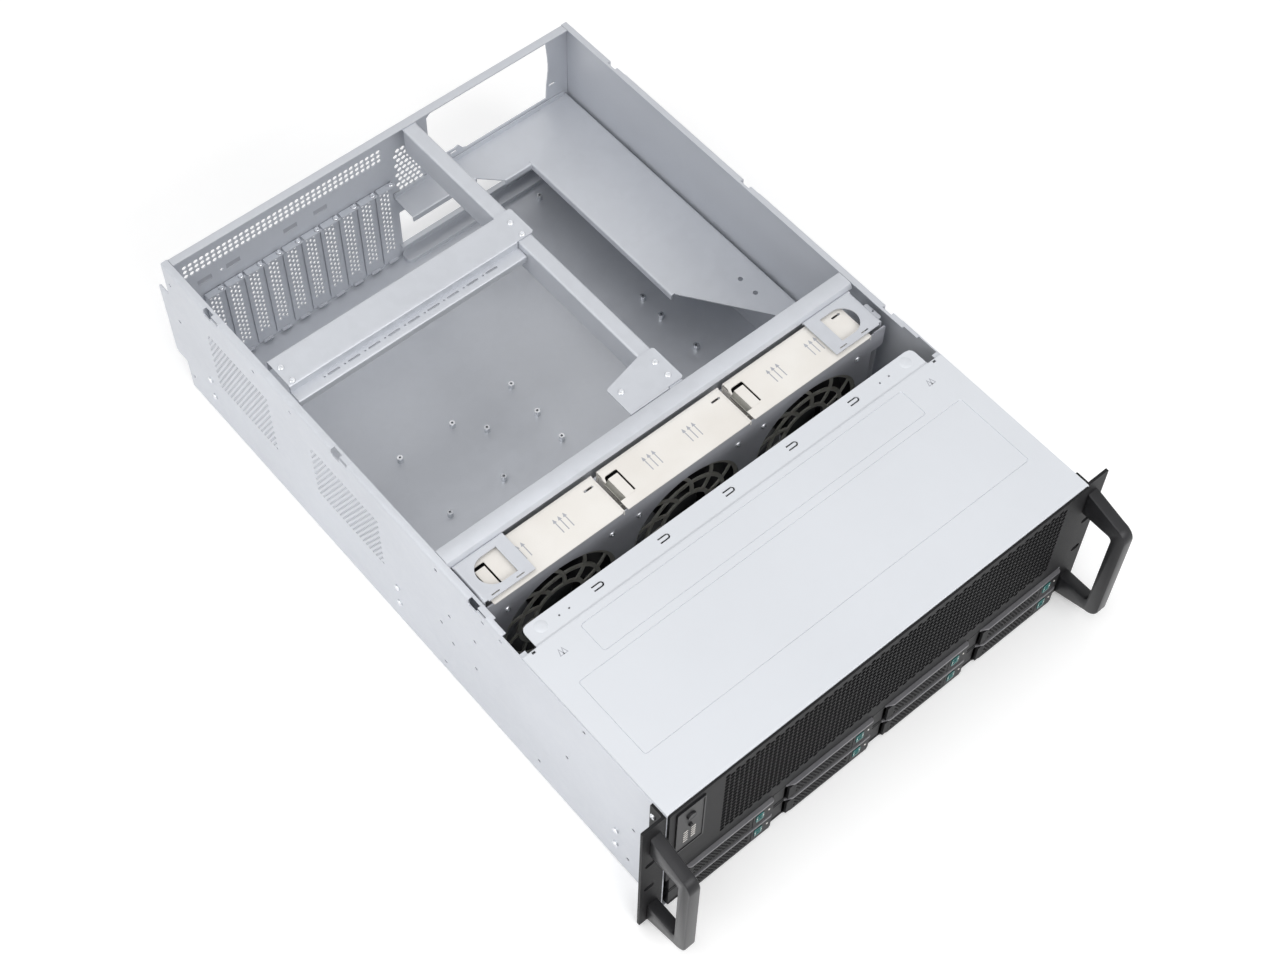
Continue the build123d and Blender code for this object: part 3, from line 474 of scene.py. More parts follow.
# Slot covers: staggered capsule holes, a folded tab with its screw hole, a tongue at the foot
cover = {"half": 9.2, "face": 647.4, "tab": 110.7, "columns": (-3.7, 0.0, 3.7), "low": 20.0,
         "pitch": 6.2, "count": 14, "capsule": (1.3, 2.1), "screw": 6.2}


def capsuleLoop(u, v, r, halfLength):
    reach = halfLength - r
    return arcLoop(u, v + reach, r, 0, 180, 4) + arcLoop(u, v - reach, r, 180, 360, 4)


def slotCovers():
    half, face, tab = cover["half"], cover["face"], cover["tab"]
    bend = [(648.6, 108.9), (648.1, 110.2), (646.8, tab), (645, tab), (645, 109.5),
            (646.7, 109.5), (647.2, 109.3), (face, 108.9)]
    meshes = []
    for x in slotXs:
        holes = []
        for n, shift in enumerate(cover["columns"]):
            for j in range(cover["count"] - n % 2):
                z = cover["low"] + (j + 0.5 * (n % 2)) * cover["pitch"]
                holes.append(capsuleLoop(x + shift, z, *cover["capsule"]))
        top = [(x - half, 645), (x - half, 641.6), (x - half + 0.6, 641), (x + half - 0.6, 641),
               (x + half, 641.6), (x + half, 645)]
        meshes += [plate("front", face, boxLoop(x - half, x + half, 5, tab - 1.8), holes),
                   plate("side", x - half, bend, (), 2 * half),
                   plate("flat", tab - sheet, top, [ringLoop(x + cover["screw"], 643.3, 1.5, 12)]),
                   block(x - 5, x + 5, 644.4, face, 5, 6.2, 0.2)]
    piece("slot_cover_set", meshes, "zinc_steel", "case", ["slot_covers"])


# The four small windows are closed by tongues that sit a little behind the panel's face, coloured a
# darker grey than the panel as painted shade in the recesses
def windowTongues():
    half, (low, high), gap = rear["windowHalf"], rear["windowHeight"], 0.05
    meshes = [plate("front", 649.4, boxLoop(x - half + gap, x + half - gap, low + gap, high - gap),
                    (), 0.5) for x in rear["windows"]]
    piece("window_tongues_painted_shade", meshes, "grey_paint", "case")


rearPanel()
windowTongues()
slotCovers()
print("rear made")

# Power supply shelf with its folded lips
deck = {"top": 86.0, "left": 13.5, "right": 216.0, "inner": 212.0, "front": 288.0,
        "rear": 648.6, "end": 647.4, "lip": 6.5, "bores": ((194.5, 358), (194.5, 378))}


def supplyShelf():
    top, left, right, inner = deck["top"], deck["left"], deck["right"], deck["inner"]
    front, far, end, lip = deck["front"], deck["rear"], deck["end"], deck["lip"]
    under = top - sheet
    outline = [(left, end), (left, 623), (86, 623), (105, 604), (139, 604), (139, 402), (191, 329),
               (191, 292), (inner, 292), (inner, end)]
    meshes = [plate("flat", under, outline, [ringLoop(x, y, 2.4, 16) for x, y in deck["bores"]]),
              foldedEdge("x", left, 86, 619, 1, top, lip),
              foldedEdge("x", 105, 135, 600, 1, top, lip),
              foldedEdge("y", 403, 604, 135, 1, top, lip),
              foldedEdge("x", 191, inner, front, 1, top, under),
              foldedEdge("y", front, far, right, -1, top, under),
              plate("flat", under, [(86, 619), (105, 600), (105, 604), (86, 623)]),
              block(left, inner, end, far, under, 91, 0.2)]
    piece("supply_shelf", meshes, "zinc_steel", "case", ["psu_deck"])


# Bridge over the cards with its stepped comb
bridge = {"left": -208.7, "right": 43.0, "front": 478.0, "rear": 511.0, "comb": 466.0,
          "combTop": 168.0, "step": 25.0,
          "screws": ((-203.4, 498), (-203.4, 482), (33.2, 498), (33.2, 482))}


def screwBores(places):
    return [ringLoop(x, y, 1.5, 12) for x, y in places]


def slotBridge():
    left, right, step = bridge["left"], bridge["right"], bridge["step"]
    front, back, comb, combTop = bridge["front"], bridge["rear"], bridge["comb"], bridge["combTop"]
    outline = [(left, front + 4), (step, front + 4), (step, front + 0.6),
               (right - 1.5, front + 0.6), (right, front + 2), (right, back - 2),
               (right - 1.5, back), (step, back), (step, back - 4), (left, back - 4)]
    dashes = [softLoop(x + 4.2, x + 16.2, comb + 6.4, comb + 8.6, 1.0, 3) for x in slotXs[:-1]]
    dashes += [ringLoop(x + 1.0, comb + 7.5, 1.0, 10) for x in slotXs[:-1]]
    shelf = boxLoop(left, step, comb + 4, front + 1.2)
    meshes = [plate("flat", caseTop - sheet, outline, screwBores(bridge["screws"])),
              foldedEdge("x", left, step, front, 1, caseTop, 9.2),
              foldedEdge("x", left, step, back, -1, caseTop, 12),
              plate("flat", combTop - sheet, shelf, dashes),
              foldedEdge("x", left, step, comb, 1, combTop, 7)]
    piece("card_bridge", meshes, "zinc_steel", "case", ["slot_bridge"])


# Spine rail from the bar to the rear panel, and the bracket on its front end
spine = {"web": (30.0, 36.5), "sides": ((26.0, 1), (40.5, -1)), "front": 282.2, "foldEnd": 639.6,
         "rear": 648.6, "top": 174.6, "drop": 28.0}
bracket = {"left": -15.0, "flange": 25.6, "front": 282.2, "low": 160.8,
           "screws": ((33.2, 309), (33.2, 293), (-7, 304))}


def spineRail():
    front, end, far, top = spine["front"], spine["foldEnd"], spine["rear"], spine["top"]
    bores = screwBores(bridge["screws"][2:] + bracket["screws"][:2])
    meshes = [plate("flat", top - sheet, boxLoop(*spine["web"], front, far), bores)]
    for face, inward in spine["sides"]:
        edge = sorted((face, face + inward * 4))
        meshes += [foldedEdge("y", front, end, face, inward, top, spine["drop"]),
                   plate("flat", top - sheet, boxLoop(*edge, end, far))]
    piece("spine_channel", meshes, "zinc_steel", "case", ["spine_rail"])


def spineBracket():
    left, flange, front = bracket["left"], bracket["flange"], bracket["front"]
    under = caseTop - sheet
    outline = [(left, 284), (40.5, 284), (42, 285.5), (42, 320.5), (40.5, 322), (25, 322),
               (-13.4, 313.6), (left, 312)]
    meshes = [plate("flat", under, outline, screwBores(bracket["screws"])),
              block(left, flange, front, front + sheet, bracket["low"], under, 0.2),
              block(left, flange, front, 284.4, under, caseTop, 0.3)]
    piece("spine_plate", meshes, "zinc_steel", "case", ["spine_bracket"])


# Bar behind the fans with a sloped front, on short feet beside the rims
def fanWallBar():
    section = [(264.6, 171), (265.2, 172.6), (266.9, 175.2), (268.6, 176), (280.6, 176),
               (281.6, 175.5), (282, 174.6), (282, 150), (280.8, 150), (280.8, 174.3),
               (280.2, 174.8), (269.6, 174.8), (269.2, 174.4), (269.2, 150), (268, 150),
               (268, 173.8), (265.6, 170.4)]
    meshes = [plate("side", -span, section, (), 2 * span)]
    for side in (-1, 1):
        for near, far, top in ((span, 217.6, 174.6), (210.5, span, 174.8)):
            x0, x1 = sorted((side * near, side * far))
            meshes.append(block(x0, x1, 269.2, 280.8, 173.4, top, 0.1))
    piece("fan_wall_bar", meshes, "zinc_steel", "case", ["fan_wall_crossbar"])


supplyShelf()
slotBridge()
spineRail()
spineBracket()
fanWallBar()
print("shelf, bridge, spine and bar made")

# Fan row: each fan has a finger guard, a frame with struts, a bladed rotor and a latch carrier
fan = {
    "centres": (-138.5, -5.5, 127.5), "z": 92.0, "half": 60.0, "screw": 52.5, "duct": 58.0,
    "front": 224.2, "rear": 262.2, "hub": 19.0, "tip": 54.6, "blades": 7, "guard": 222.4,
}
rotorEnds = (fan["front"] + 4, fan["rear"] - 6.6)
# The guard lies flat: rings and swept arms of one width
guard = {"rings": (24.5, 41.0, 56.0), "width": 3.7, "thick": 1.5, "arms": 11, "from": 24.0,
         "to": 57.2, "sweep": 0.34}


def fanGuard(number, cx):
    z0, y, half, thick = fan["z"], fan["guard"] + 0.1, guard["width"] / 2, guard["thick"]
    meshes = []
    for r in guard["rings"]:
        inner = ringLoop(cx, z0, r - half, 64)
        meshes.append(plate("front", y, ringLoop(cx, z0, r + half, 64), [inner], thick))
    for arm in range(guard["arms"]):
        left, right = [], []
        for i in range(8):
            t = i / 7
            r = guard["from"] + t * (guard["to"] - guard["from"])
            angle = 2 * pi * (arm + 0.35) / guard["arms"] + guard["sweep"] * t ** 1.5
            for edge, turn in ((left, angle + half / r), (right, angle - half / r)):
                edge.append((cx + r * cos(turn), z0 + r * sin(turn)))
        meshes.append(plate("front", y + 0.1, left + right[::-1], (), thick - 0.2))
    piece(f"finger_guard_{number}", meshes, "guard_plastic", "case", [f"fan_guard_{number}"], 40)


def fanHousing(number, cx):
    z0, y0, y1, half = fan["z"], fan["front"], fan["rear"], fan["half"]
    hub, screw, flange = fan["hub"], fan["screw"], 4.0
    outer = softLoop(cx - half, cx + half, z0 - half, z0 + half, 5, 5)
    duct = ringLoop(cx, z0, fan["duct"], 72)
    bores = [ringLoop(cx + a * screw, z0 + b * screw, 2.2, 14) for a in (-1, 1) for b in (-1, 1)]
    boss = [(hub, 0), (hub + 1, 1), (hub + 1, 5.4), (hub + 0.4, 6)]
    meshes = [plate("front", y0, outer, [duct] + bores, flange),
              plate("front", y1 - flange, outer, [duct] + bores, flange),
              plate("front", y0 + flange, ringLoop(cx, z0, half - 0.4, 72), [duct],
                    y1 - y0 - 2 * flange),
              turned("y", (cx, y1 - 6, z0), boss, 40)]
    for turn in (45, 135, 225, 315):
        strut = block(18, 58.5, y1 - 4, y1 - 0.2, -2, 2, 0.6)
        strut.transform(Matrix.Translation((cx, 0, z0)) @ Matrix.Rotation(radians(turn), 4, "Y"))
        meshes.append(strut)
    piece(f"fan_housing_{number}", meshes, "fan_plastic", "case", [f"fan_frame_{number}"], 40)


# One blade: chord and pitch change from root to tip, with a thin curved section
def bladeMesh(cx, turn):
    build = bmesh.new()
    root = fan["hub"] - 0.8
    middle = sum(rotorEnds) / 2
    rows = []
    for i in range(7):
        t = i / 6
        r = root + (fan["tip"] - root) * t
        chord = 11.5 + 7.0 * t
        pitch = radians(52 - 20 * t)
        sweep = 0.18 * t
        row = []
        for side in (1, -1):
            for k in range(7):
                s = -1 + k / 3
                camber = 2.2 * (1 - s * s)
                lift = camber + side * 0.8 * sqrt(max(0.0, 1 - abs(s) ** 3))
                tangent = chord * s * cos(pitch) - lift * sin(pitch)
                axial = chord * s * sin(pitch) + lift * cos(pitch)
                angle = turn + sweep + tangent / r
                row.append(build.verts.new((cx + r * cos(angle), middle + axial * 0.85 - 1.0,
                                            fan["z"] + r * sin(angle))))
        rows.append(row[:7] + row[7:][::-1])
    joinRows(build, rows)
    build.faces.new(rows[-1])
    build.faces.new(reversed(rows[0]))
    return meshFrom(build)


def fanRotor(number, cx):
    z0, hub, (y0, y1) = fan["z"], fan["hub"], rotorEnds
    cap = [(3, 0.6), (16.0, 0.6), (16.6, 0), (18.2, 0.5), (hub, 1.6), (hub, y1 - y0)]
    meshes = [turned("y", (cx, y0, z0), cap, 48),
              turned("y", (cx, y1, z0), [(2, 0), (2, fan["rear"] - 2 - y1)], 20)]
    meshes += [bladeMesh(cx, 2 * pi * i / fan["blades"]) for i in range(fan["blades"])]
    piece(f"fan_wheel_{number}", meshes, "fan_plastic", f"fan_spinner_{number}",
          [f"fan_rotor_{number}"], 50)


# Cream latch plate: a tab inside its U shaped slot, a thumb slot, cheeks and rolled edges
latch = {"top": 168.0, "front": 219.4, "rear": 262.6, "half": 65.0, "roll": 2.2, "cheek": 60.4,
         "tabFront": 229.0, "tabRear": 251.2, "tabLeft": 5.8, "tabRight": 15.0, "slot": 1.7,
         "rearSlot": 3.4, "gap": 2.6, "lipLevel": 163.0, "gripStart": 1.7, "ribs": 8,
         "ribPitch": 2.6, "arrowStart": 235.0, "arrowLength": 15.0}


def latchPlate(number, cx):
    top, x0, x1 = latch["top"], cx - latch["half"], cx + latch["half"]
    y0, y1, roll, cheek = latch["front"], latch["rear"], latch["roll"], latch["cheek"]
    tab0, tab1 = latch["tabFront"], latch["tabRear"]
    left, right = x0 + latch["tabLeft"], x0 + latch["tabRight"]
    slot, far, seam = right + latch["slot"], tab1 + latch["rearSlot"], x0 + latch["gap"]
    outline = [(x0 + 0.6, y0), (x1 - roll, y0), (x1 - roll, y1 - roll), (seam, y1 - roll),
               (seam, far + 1.4), (x0 + 1.6, tab1 + 1.4), (x0 + 1.6, tab1 - 1.6),
               (x0 + 2.6, tab1 - 1.6), (x0 + 4.0, far - 1.2), (left, far), (slot - 0.6, far),
               (slot, far - 0.6), (slot, tab0 + 1.4), (right, tab0 + 1.4), (right, tab0),
               (x0, tab0), (x0, y0 + 0.6)]
    thumb = softLoop(x1 - 14, x1 - 4.6, 252.6, 254.8, 1.0, 3)
    meshes = [plate("flat", top - 1, outline, [thumb], 1.0),
              block(left - 0.3, right, tab0, tab1, top - 1, top, 0.2),
              foldedEdge("y", y0 + 0.6, y1 - roll, x1, -1, top, 6.0, 0.9, 1.0, 2.3),
              foldedEdge("x", seam, x1, y1, -1, top, 15.0, 1.0, 1.0, 2.3),
              block(cx - cheek, cx + cheek, 226.2, 260.2, 31, 32, 0.2)]
    for x in (cx - cheek - 1, cx + cheek):
        meshes.append(block(x, x + 1, 224.2, 262.4, 1.2, 161.8, 0.2))
    piece(f"latch_plate_{number}", meshes, "cream_paint", "case", [f"fan_top_plate_{number}"])


# The tab's grip: a sloped grey face with fine ribs, and the small lip that closes the gap in front.
# The grey is in part painted shade on the slope, which faces away from the light
def latchGrip(number, cx):
    x0, top, low = cx - latch["half"], latch["top"], latch["lipLevel"]
    x1, y0, y1 = x0 + latch["gripStart"], latch["tabFront"], latch["tabRear"]
    strips = [(y0 + 0.2, y1 - y0 - 0.4, 0.0)]
    strips += [(y0 + 1.0 + n * latch["ribPitch"], 1.3, 0.3) for n in range(latch["ribs"])]
    meshes = []
    for start, length, raised in strips:
        profile = [(x1, low + raised), (x1 + 0.9, low + raised), (x0 + 5.4, top - 0.6 + raised),
                   (x0 + 5.4, top - 1.4), (x1 + 1.3, low - 1), (x1, low - 1)]
        meshes.append(plate("front", start, profile, (), length))
    if number > 1:
        meshes.append(block(x0 - 2.3, x0 + 1.0, y0 - 1.2, y0 + 0.1, 162.4, 163.4, 0.2))
    piece(f"latch_grip_{number}", meshes, "guard_plastic", "case")


# Printed air flow arrows, three at each side of the middle, pointing to the rear
def flowArrows(number, cx):
    y0, y1 = latch["arrowStart"], latch["arrowStart"] + latch["arrowLength"]
    meshes = []
    for x in [cx + group + n for group in (-21, 21) for n in (-5, 0, 5)]:
        loop = [(x - 0.45, y0), (x + 0.45, y0), (x + 0.45, y1 - 4), (x + 1.7, y1 - 4), (x, y1),
                (x - 1.7, y1 - 4), (x - 0.45, y1 - 4)]
        meshes.append(plate("flat", latch["top"], loop, (), 0.06))
    piece(f"flow_arrows_{number}", meshes, "grey_paint", "case")


for number, cx in enumerate(fan["centres"], start=1):
    fanGuard(number, cx)
    fanHousing(number, cx)
    fanRotor(number, cx)
    latchPlate(number, cx)
    latchGrip(number, cx)
    flowArrows(number, cx)


# Fan wall: grey plate with its three openings and top ears
def fanWallPlate():
    centres, screw = fan["centres"], fan["screw"]
    outline = [(-205, 1.2), (197, 1.2), (197, 140), (208.5, 140), (210, 141.5), (210, 164.5),
               (208.5, 166), (197, 166), (197, 165), (-194, 165), (-194, 166), (-208.5, 166),
               (-210, 164.5), (-210, 141.5), (-208.5, 140), (-205, 140)]
    holes = [ringLoop(cx, fan["z"], 57.5, 72) for cx in centres]
    holes += [ringLoop(cx + a * screw, fan["z"] - screw, 2.2, 12)
              for cx in centres for a in (-1, 1)]
    meshes = [plate("front", 221.0, outline, holes), block(-194, 197, 207, 221, 1.2, 2.4, 0.3)]
    piece("fan_wall_plate", meshes, "grey_paint", "case", ["fan_front_plate"])


# End caps over the outer fans, each with a D shaped cable hole and slits at the front
cap = {"top": 172.0, "front": 222.4, "rear": 264.5, "foldEnd": 261.5, "hole": 14.0}


def endCap(name, node, outer, inner, straight):
    away = -1 if outer < inner else 1
    top, r, mid = cap["top"], cap["hole"], (cap["front"] + cap["rear"]) / 2
    bow = arcLoop(straight + away * r, mid, r, -90 if away > 0 else 270, 90, 15)
    gap = [(straight, mid - r), *bow, (straight, mid + r)]
    low, high = sorted((outer - away * 4, inner))
    slits = [softLoop(x - 4, x + 4, 224.6, 226.0, 0.65, 2)
             for x in ((low + high) / 2 - 14, (low + high) / 2 + 10)]
    sheetLoop = boxLoop(low, high, cap["front"], cap["foldEnd"])
    meshes = [plate("flat", top - sheet, sheetLoop, [gap] + slits),
              foldedEdge("y", 223.8, cap["foldEnd"], outer, -away, top, top - sheet),
              foldedEdge("x", *sorted((outer, inner)), cap["rear"], -1, top, 3.2, sheet, 1.4, 3.0)]
    if away > 0:
        ear = softLoop(207.2, 211.2, 228, 246, 1.5, 3)
        meshes.append(plate("flat", 168.4, ear, [ringLoop(209.6, 237, 1.0, 12)]))
    piece(name, meshes, "zinc_steel", "case", [node])


fanWallPlate()
endCap("left_end_cap", "fan_end_cap_left", -210.0, -161.0, -172.5)
endCap("right_end_cap", "fan_end_cap_right", 207.0, 155.0, 168.0)
print("fan row made")

# Front cover: shallow pressed panels, joggled rear lip with lances, dots and pressed discs
lid = {
    "half": 218.8, "front": 1.6, "rear": 167.0, "lip": 187.5, "lipHalf": 204.0,
    "panels": ((-168, 168, 132, 161), (-199.5, 199.5, 48, 125)), "press": 0.6, "line": 0.7,
    "lances": (-135.8, -69.6, -2.7, 64.4, 131.5), "lanceY": 178.7,
    "dots": ((-173.8, 178), (-164.2, 178), (160.6, 178), (171, 178.5)),
    "discs": ((-190.5, 179.4), (190.5, 179.4)), "triangles": ((-192, 152.5), (192, 152.5)),
}


# A narrow U cut through the sheet, open to the left
def lanceLoop(x, y):
    left, mid, wide, thin = x - 4.6, x + 3.2, 2.7, 1.25
    return [(left, y + wide), *arcLoop(mid, y, wide, 90, -90, 10), (left, y - wide),
            (left, y - thin), *arcLoop(mid, y, thin, -90, 90, 10), (left, y + thin)]


def frontLid():
    top, half, h, e = caseTop, lid["half"] - 0.4, lid["lipHalf"], lid["lip"]
    frames = [softLoop(*zone, 2.5, 3) for zone in lid["panels"]]
    notches = [boxLoop(s * 209 - 1.6, s * 209 + 1.6, 163.8, 166) for s in (-1, 1)]
    outline = boxLoop(-half, half, lid["front"] + 1.4, lid["rear"] - 0.8)
    bend = [(1.6, 174.9), (1.8, 175.5), (2.4, 175.9), (3.0, 176), (3.0, 174.8), (1.6, 174.8)]
    joggle = [(166.2, 176), (167.2, 175.9), (168.4, 175.0), (169.4, 174.75), (169.4, 173.5),
              (160, 173.5), (160, 174.8), (166.2, 174.8)]
    edge = [(166.2, 176), (167.0, 175.7), (167.2, 174.8), (166.2, 174.8)]
    meshes = [plate("flat", top - sheet, outline, frames + notches),
              plate("side", -half, bend, (), 2 * half), plate("side", -h, joggle, (), 2 * h),
              plate("side", -half, edge, (), half - h), plate("side", h, edge, (), half - h)]
    meshes += [pressedPanel(*zone, top, lid["press"], lid["line"]) for zone in lid["panels"]]
    holes = [lanceLoop(x, lid["lanceY"]) for x in lid["lances"]]
    holes += [ringLoop(x, y, 0.9, 12) for x, y in lid["dots"]]
    holes += [ringLoop(x, y, 5.5, 28) for x, y in lid["discs"]]
    lip = [(-h, 169.4), (h, 169.4), (h, e - 6), (h - 0.7, e - 3), (h - 2.4, e - 1), (h - 6, e),
           (-h + 6, e), (-h + 2.4, e - 1), (-h + 0.7, e - 3), (-h, e - 6)]
    meshes.append(plate("flat", 173.5, lip, holes))
    dome = [(5.5, 0), (5.5, 1.1), (4.6, 1.45), (1.2, 1.5)]
    meshes += [turned("z", (x, y, 173.6), dome, 28) for x, y in lid["discs"]]
    # the cover's paler zinc is in part a painted highlight for the light on its top
    piece("front_lid", meshes, "zinc_steel", "case", ["front_cover"], coat="cover_sheet_and_painted_highlight")


# Small outlined triangle pairs at both ends of the front cover, printed in grey
def lidMarks():
    outer = ((-4.5, -3.2), (0.2, -3.2), (-2.15, 3.4))
    inner = ((-3.5, -2.6), (-0.8, -2.6), (-2.15, 1.6))
    meshes = []
    for x, y in lid["triangles"]:
        for s in (-1, 1):
            loops = [[(x + s * (0.6 + u), y + v) for u, v in loop] for loop in (outer, inner)]
            meshes.append(plate("flat", caseTop, loops[0], loops[1:], 0.05))
    piece("lid_marks", meshes, "grey_paint", "case")


frontLid()
lidMarks()

# Bezel: a pressed black plate with a honeycomb of small cells
bezel = {
    "half": 217.4, "low": 55.7, "top": 176.0, "front": -0.5, "thick": 2.0, "meshLeft": -164.0,
    "meshRight": 195.0, "meshLow": 70.0, "meshHigh": 171.5, "pitch": 5.6, "cell": 2.62,
    "panel": (-211.0, -183.4, 100.0, 170.0),
}


def bezelPlate():
    half, pitch, low, top = bezel["half"], bezel["pitch"], bezel["low"], bezel["top"]
    left, high, step = bezel["meshLeft"], bezel["meshHigh"] - bezel["meshLow"], pitch * 0.866
    holes = []
    for i in range(int((bezel["meshRight"] - left) / step)):
        odd = 0.5 * (i % 2)
        for j in range(int(high / pitch - odd)):
            holes.append(ringLoop(left + (i + 0.5) * step,
                                  bezel["meshLow"] + (j + 0.5 + odd) * pitch, bezel["cell"], 6))
    x0, x1, z0, z1 = bezel["panel"]
    holes.append(boxLoop(x0 - 0.2, x1 + 0.2, z0 - 0.2, z1 + 0.2))
    meshes = [plate("front", bezel["front"], softLoop(-half, half, low, top, 1.2, 3), holes,
                    bezel["thick"])]
    for a in (-half, half - sheet):  # the folded edges behind the face
        meshes.append(block(a, a + sheet, 1.5, 12, 56.5, 173.8, 0.2))
    for z in (56.5, 172.6):
        meshes.append(block(-half + sheet, half - sheet, 1.5, 12, z, z + sheet, 0.2))
    piece("grille_bezel", meshes, "black_paint", "case", ["front_bezel"])


bezelPlate()
print("front cover and bezel made")

# Control panel with its raised border, small lamps, and the two buttons
panel = {"x": -197.2, "power": 153.0, "reset": 137.0, "lamps": (128.5, 124.5, 120.5, 116.5, 112.5),
         "lampSides": (-4.2, 3.4), "lampHalf": 2.3, "lampR": 0.5}


def lampPlaces():
    return [(panel["x"] + side, z) for z in panel["lamps"] for side in panel["lampSides"]]


def lampLoop(x, z, gap):
    half, r = panel["lampHalf"] + gap, panel["lampR"] + gap
    return softLoop(x - half, x + half, z - r, z + r, r - 0.02, 4)


def controlPanel():
    x0, x1, z0, z1 = bezel["panel"]
    holes = [ringLoop(panel["x"], panel["power"], 4.5, 32)]
    holes.append(ringLoop(panel["x"], panel["reset"], 2.1, 24))
    holes += [lampLoop(x, z, 0.1) for x, z in lampPlaces()]
    inner = softLoop(x0 + 1.4, x1 - 1.4, z0 + 1.4, z1 - 1.4, 1.0, 3)
    meshes = [plate("front", -1.4, boxLoop(x0, x1, z0, z1), holes, 2.2),
              plate("front", -2.0, softLoop(x0, x1, z0, z1, 1.5, 3), [inner], 0.7)]
    meshes += [block(x0 - 3, x1 + 3, 1.6, 2.6, *zs, 0.2) for zs in ((97, 108), (164, 171.4))]
    meshes += [block(x0, x1, 0.7, 1.7, *zs, 0.1) for zs in ((100, 108), (164, 170))]
    piece("control_face", meshes, "black_plastic", "case", ["control_panel"], 35)


def pushButton(name, node, body, z, r):
    face = [(r * 0.5, 0.25), (r - 0.7, 0.12), (r - 0.2, 0.0), (r, 0.35), (r, 4.2)]
    meshes = [turned("y", (panel["x"], -3.1, z), face, 32),
              turned("y", (panel["x"], 1.1, z), [(r + 1.1, 0), (r + 1.1, 1.0)], 32)]
    piece(name, meshes, "black_plastic", body, [node], 35)


# Bars of clear plastic that carry the light of the status lamps to the front
def panelLamps():
    meshes = [plate("front", -1.7, lampLoop(x, z, -0.05), (), 1.6) for x, z in lampPlaces()]
    piece("panel_lamps", meshes, "cream_paint", "case")


controlPanel()
panelLamps()
pushButton("power_key", "power_button", "power_push", panel["power"], 4.2)
pushButton("reset_key", "reset_button", "reset_push", panel["reset"], 1.8)

# Drive carriers: wavy housing lips, a fine meshed lever on its pin, a teal latch and a lamp
bay = {"pitch": 107.2, "width": 105.6, "rows": (1.8, 29.0), "height": 25.6, "face": -3.0,
       "ledge": 0.8, "pinX": 17.2, "pinY": -0.6, "latchX": 91.4, "lampX": 101.2, "rear": 163.0}
# The lever with its two ends, and the holes of its mesh, which are finer on the real one
lever = {"columns": 17, "rows": 5, "pitch": 3.4, "rise": 2.95, "hole": 1.25, "start": 14.6,
         "flat": 20.8, "end": 83.8, "back": -0.8, "face": -3.2}


# The wave where the recessed left end of a lip comes forward
def lipWave(front):
    rise = -0.4 - front
    waves = [(1 - cos(pi * t / 8)) / 2 for t in range(9)]
    return [(13.5 + 7.0 * wave, -0.4 - rise * wave) for wave in waves]


def pinBore(x):
    return ringLoop(x + bay["pinX"], bay["pinY"], 1.25, 16)


def carrier(number, x, z):
    front, ledge, wide, far = bay["face"], bay["ledge"], bay["width"], bay["rear"]
    top, mid, key = z + bay["height"] - 2.2, z + bay["height"] / 2, x + bay["latchX"]
    tail = [(0.6, 12), (0, 11.4), (0, 0.2), (0.6, -0.4)]
    low = tail + lipWave(front) + [(wide - 1, front), (wide, front + 0.8), (wide, 12)]
    high = tail + [(13.5, -0.4), (13.5, ledge), (wide, ledge), (wide, 12)]
    window = boxLoop(key - 4.2, key + 4.2, mid - 5.6, mid + 5.6)
    lamp = ringLoop(x + bay["lampX"], mid, 1.1, 14)
    face = boxLoop(x + 84.6, x + wide - 0.1, z + 2.2, top)
    meshes = [plate("flat", z, [(x + u, v) for u, v in low], [pinBore(x)], 2.2),
              plate("flat", top, [(x + u, v) for u, v in high], (), 2.2),
              block(x + 0.05, x + 12.8, 0.0, 12, z + 2.2, top, 0.3),
              plate("front", front, face, [window, lamp], 5.6),
              block(x, x + wide, far - 4, far, z + 3, z + 5, 0.2)]
    for a, b, height in ((0, 1.6, 19), (wide - 1.6, wide, 19),       # the side rails
                         (1.6, 6.0, 1.2), (wide - 6.0, wide - 1.6, 1.2)):  # the drive's ledges
        meshes.append(block(x + a, x + b, 12, far, z + 3, z + 3 + height, 0.2))
    piece(f"carrier_frame_{number}", meshes, "carrier_paint", f"carrier_{number}",
          [f"drive_tray_{number}"])


# The lighter strip along the top of each carrier, from the wave to the right end; its paler finish
# is a painted highlight on the lit top
def carrierStrip(number, x, z):
    front, top, wide = bay["face"] - 0.7, z + bay["height"], bay["width"]
    back = bay["ledge"] - 0.05
    outline = lipWave(front) + [(wide - 1.6, front), (wide - 0.4, front + 0.5),
                                (wide, front + 1.6), (wide, back), (13.55, back)]
    face = [(x + u, v) for u, v in outline]
    meshes = [plate("flat", top - 2.2, face, [pinBore(x)], 1.9),
              plate("flat", top - 0.3, [(u, v + 0.3) for u, v in face], (), 0.3)]
    piece(f"carrier_strip_{number}", meshes, "handle_finish", f"carrier_{number}",
          coat="strip_metal")


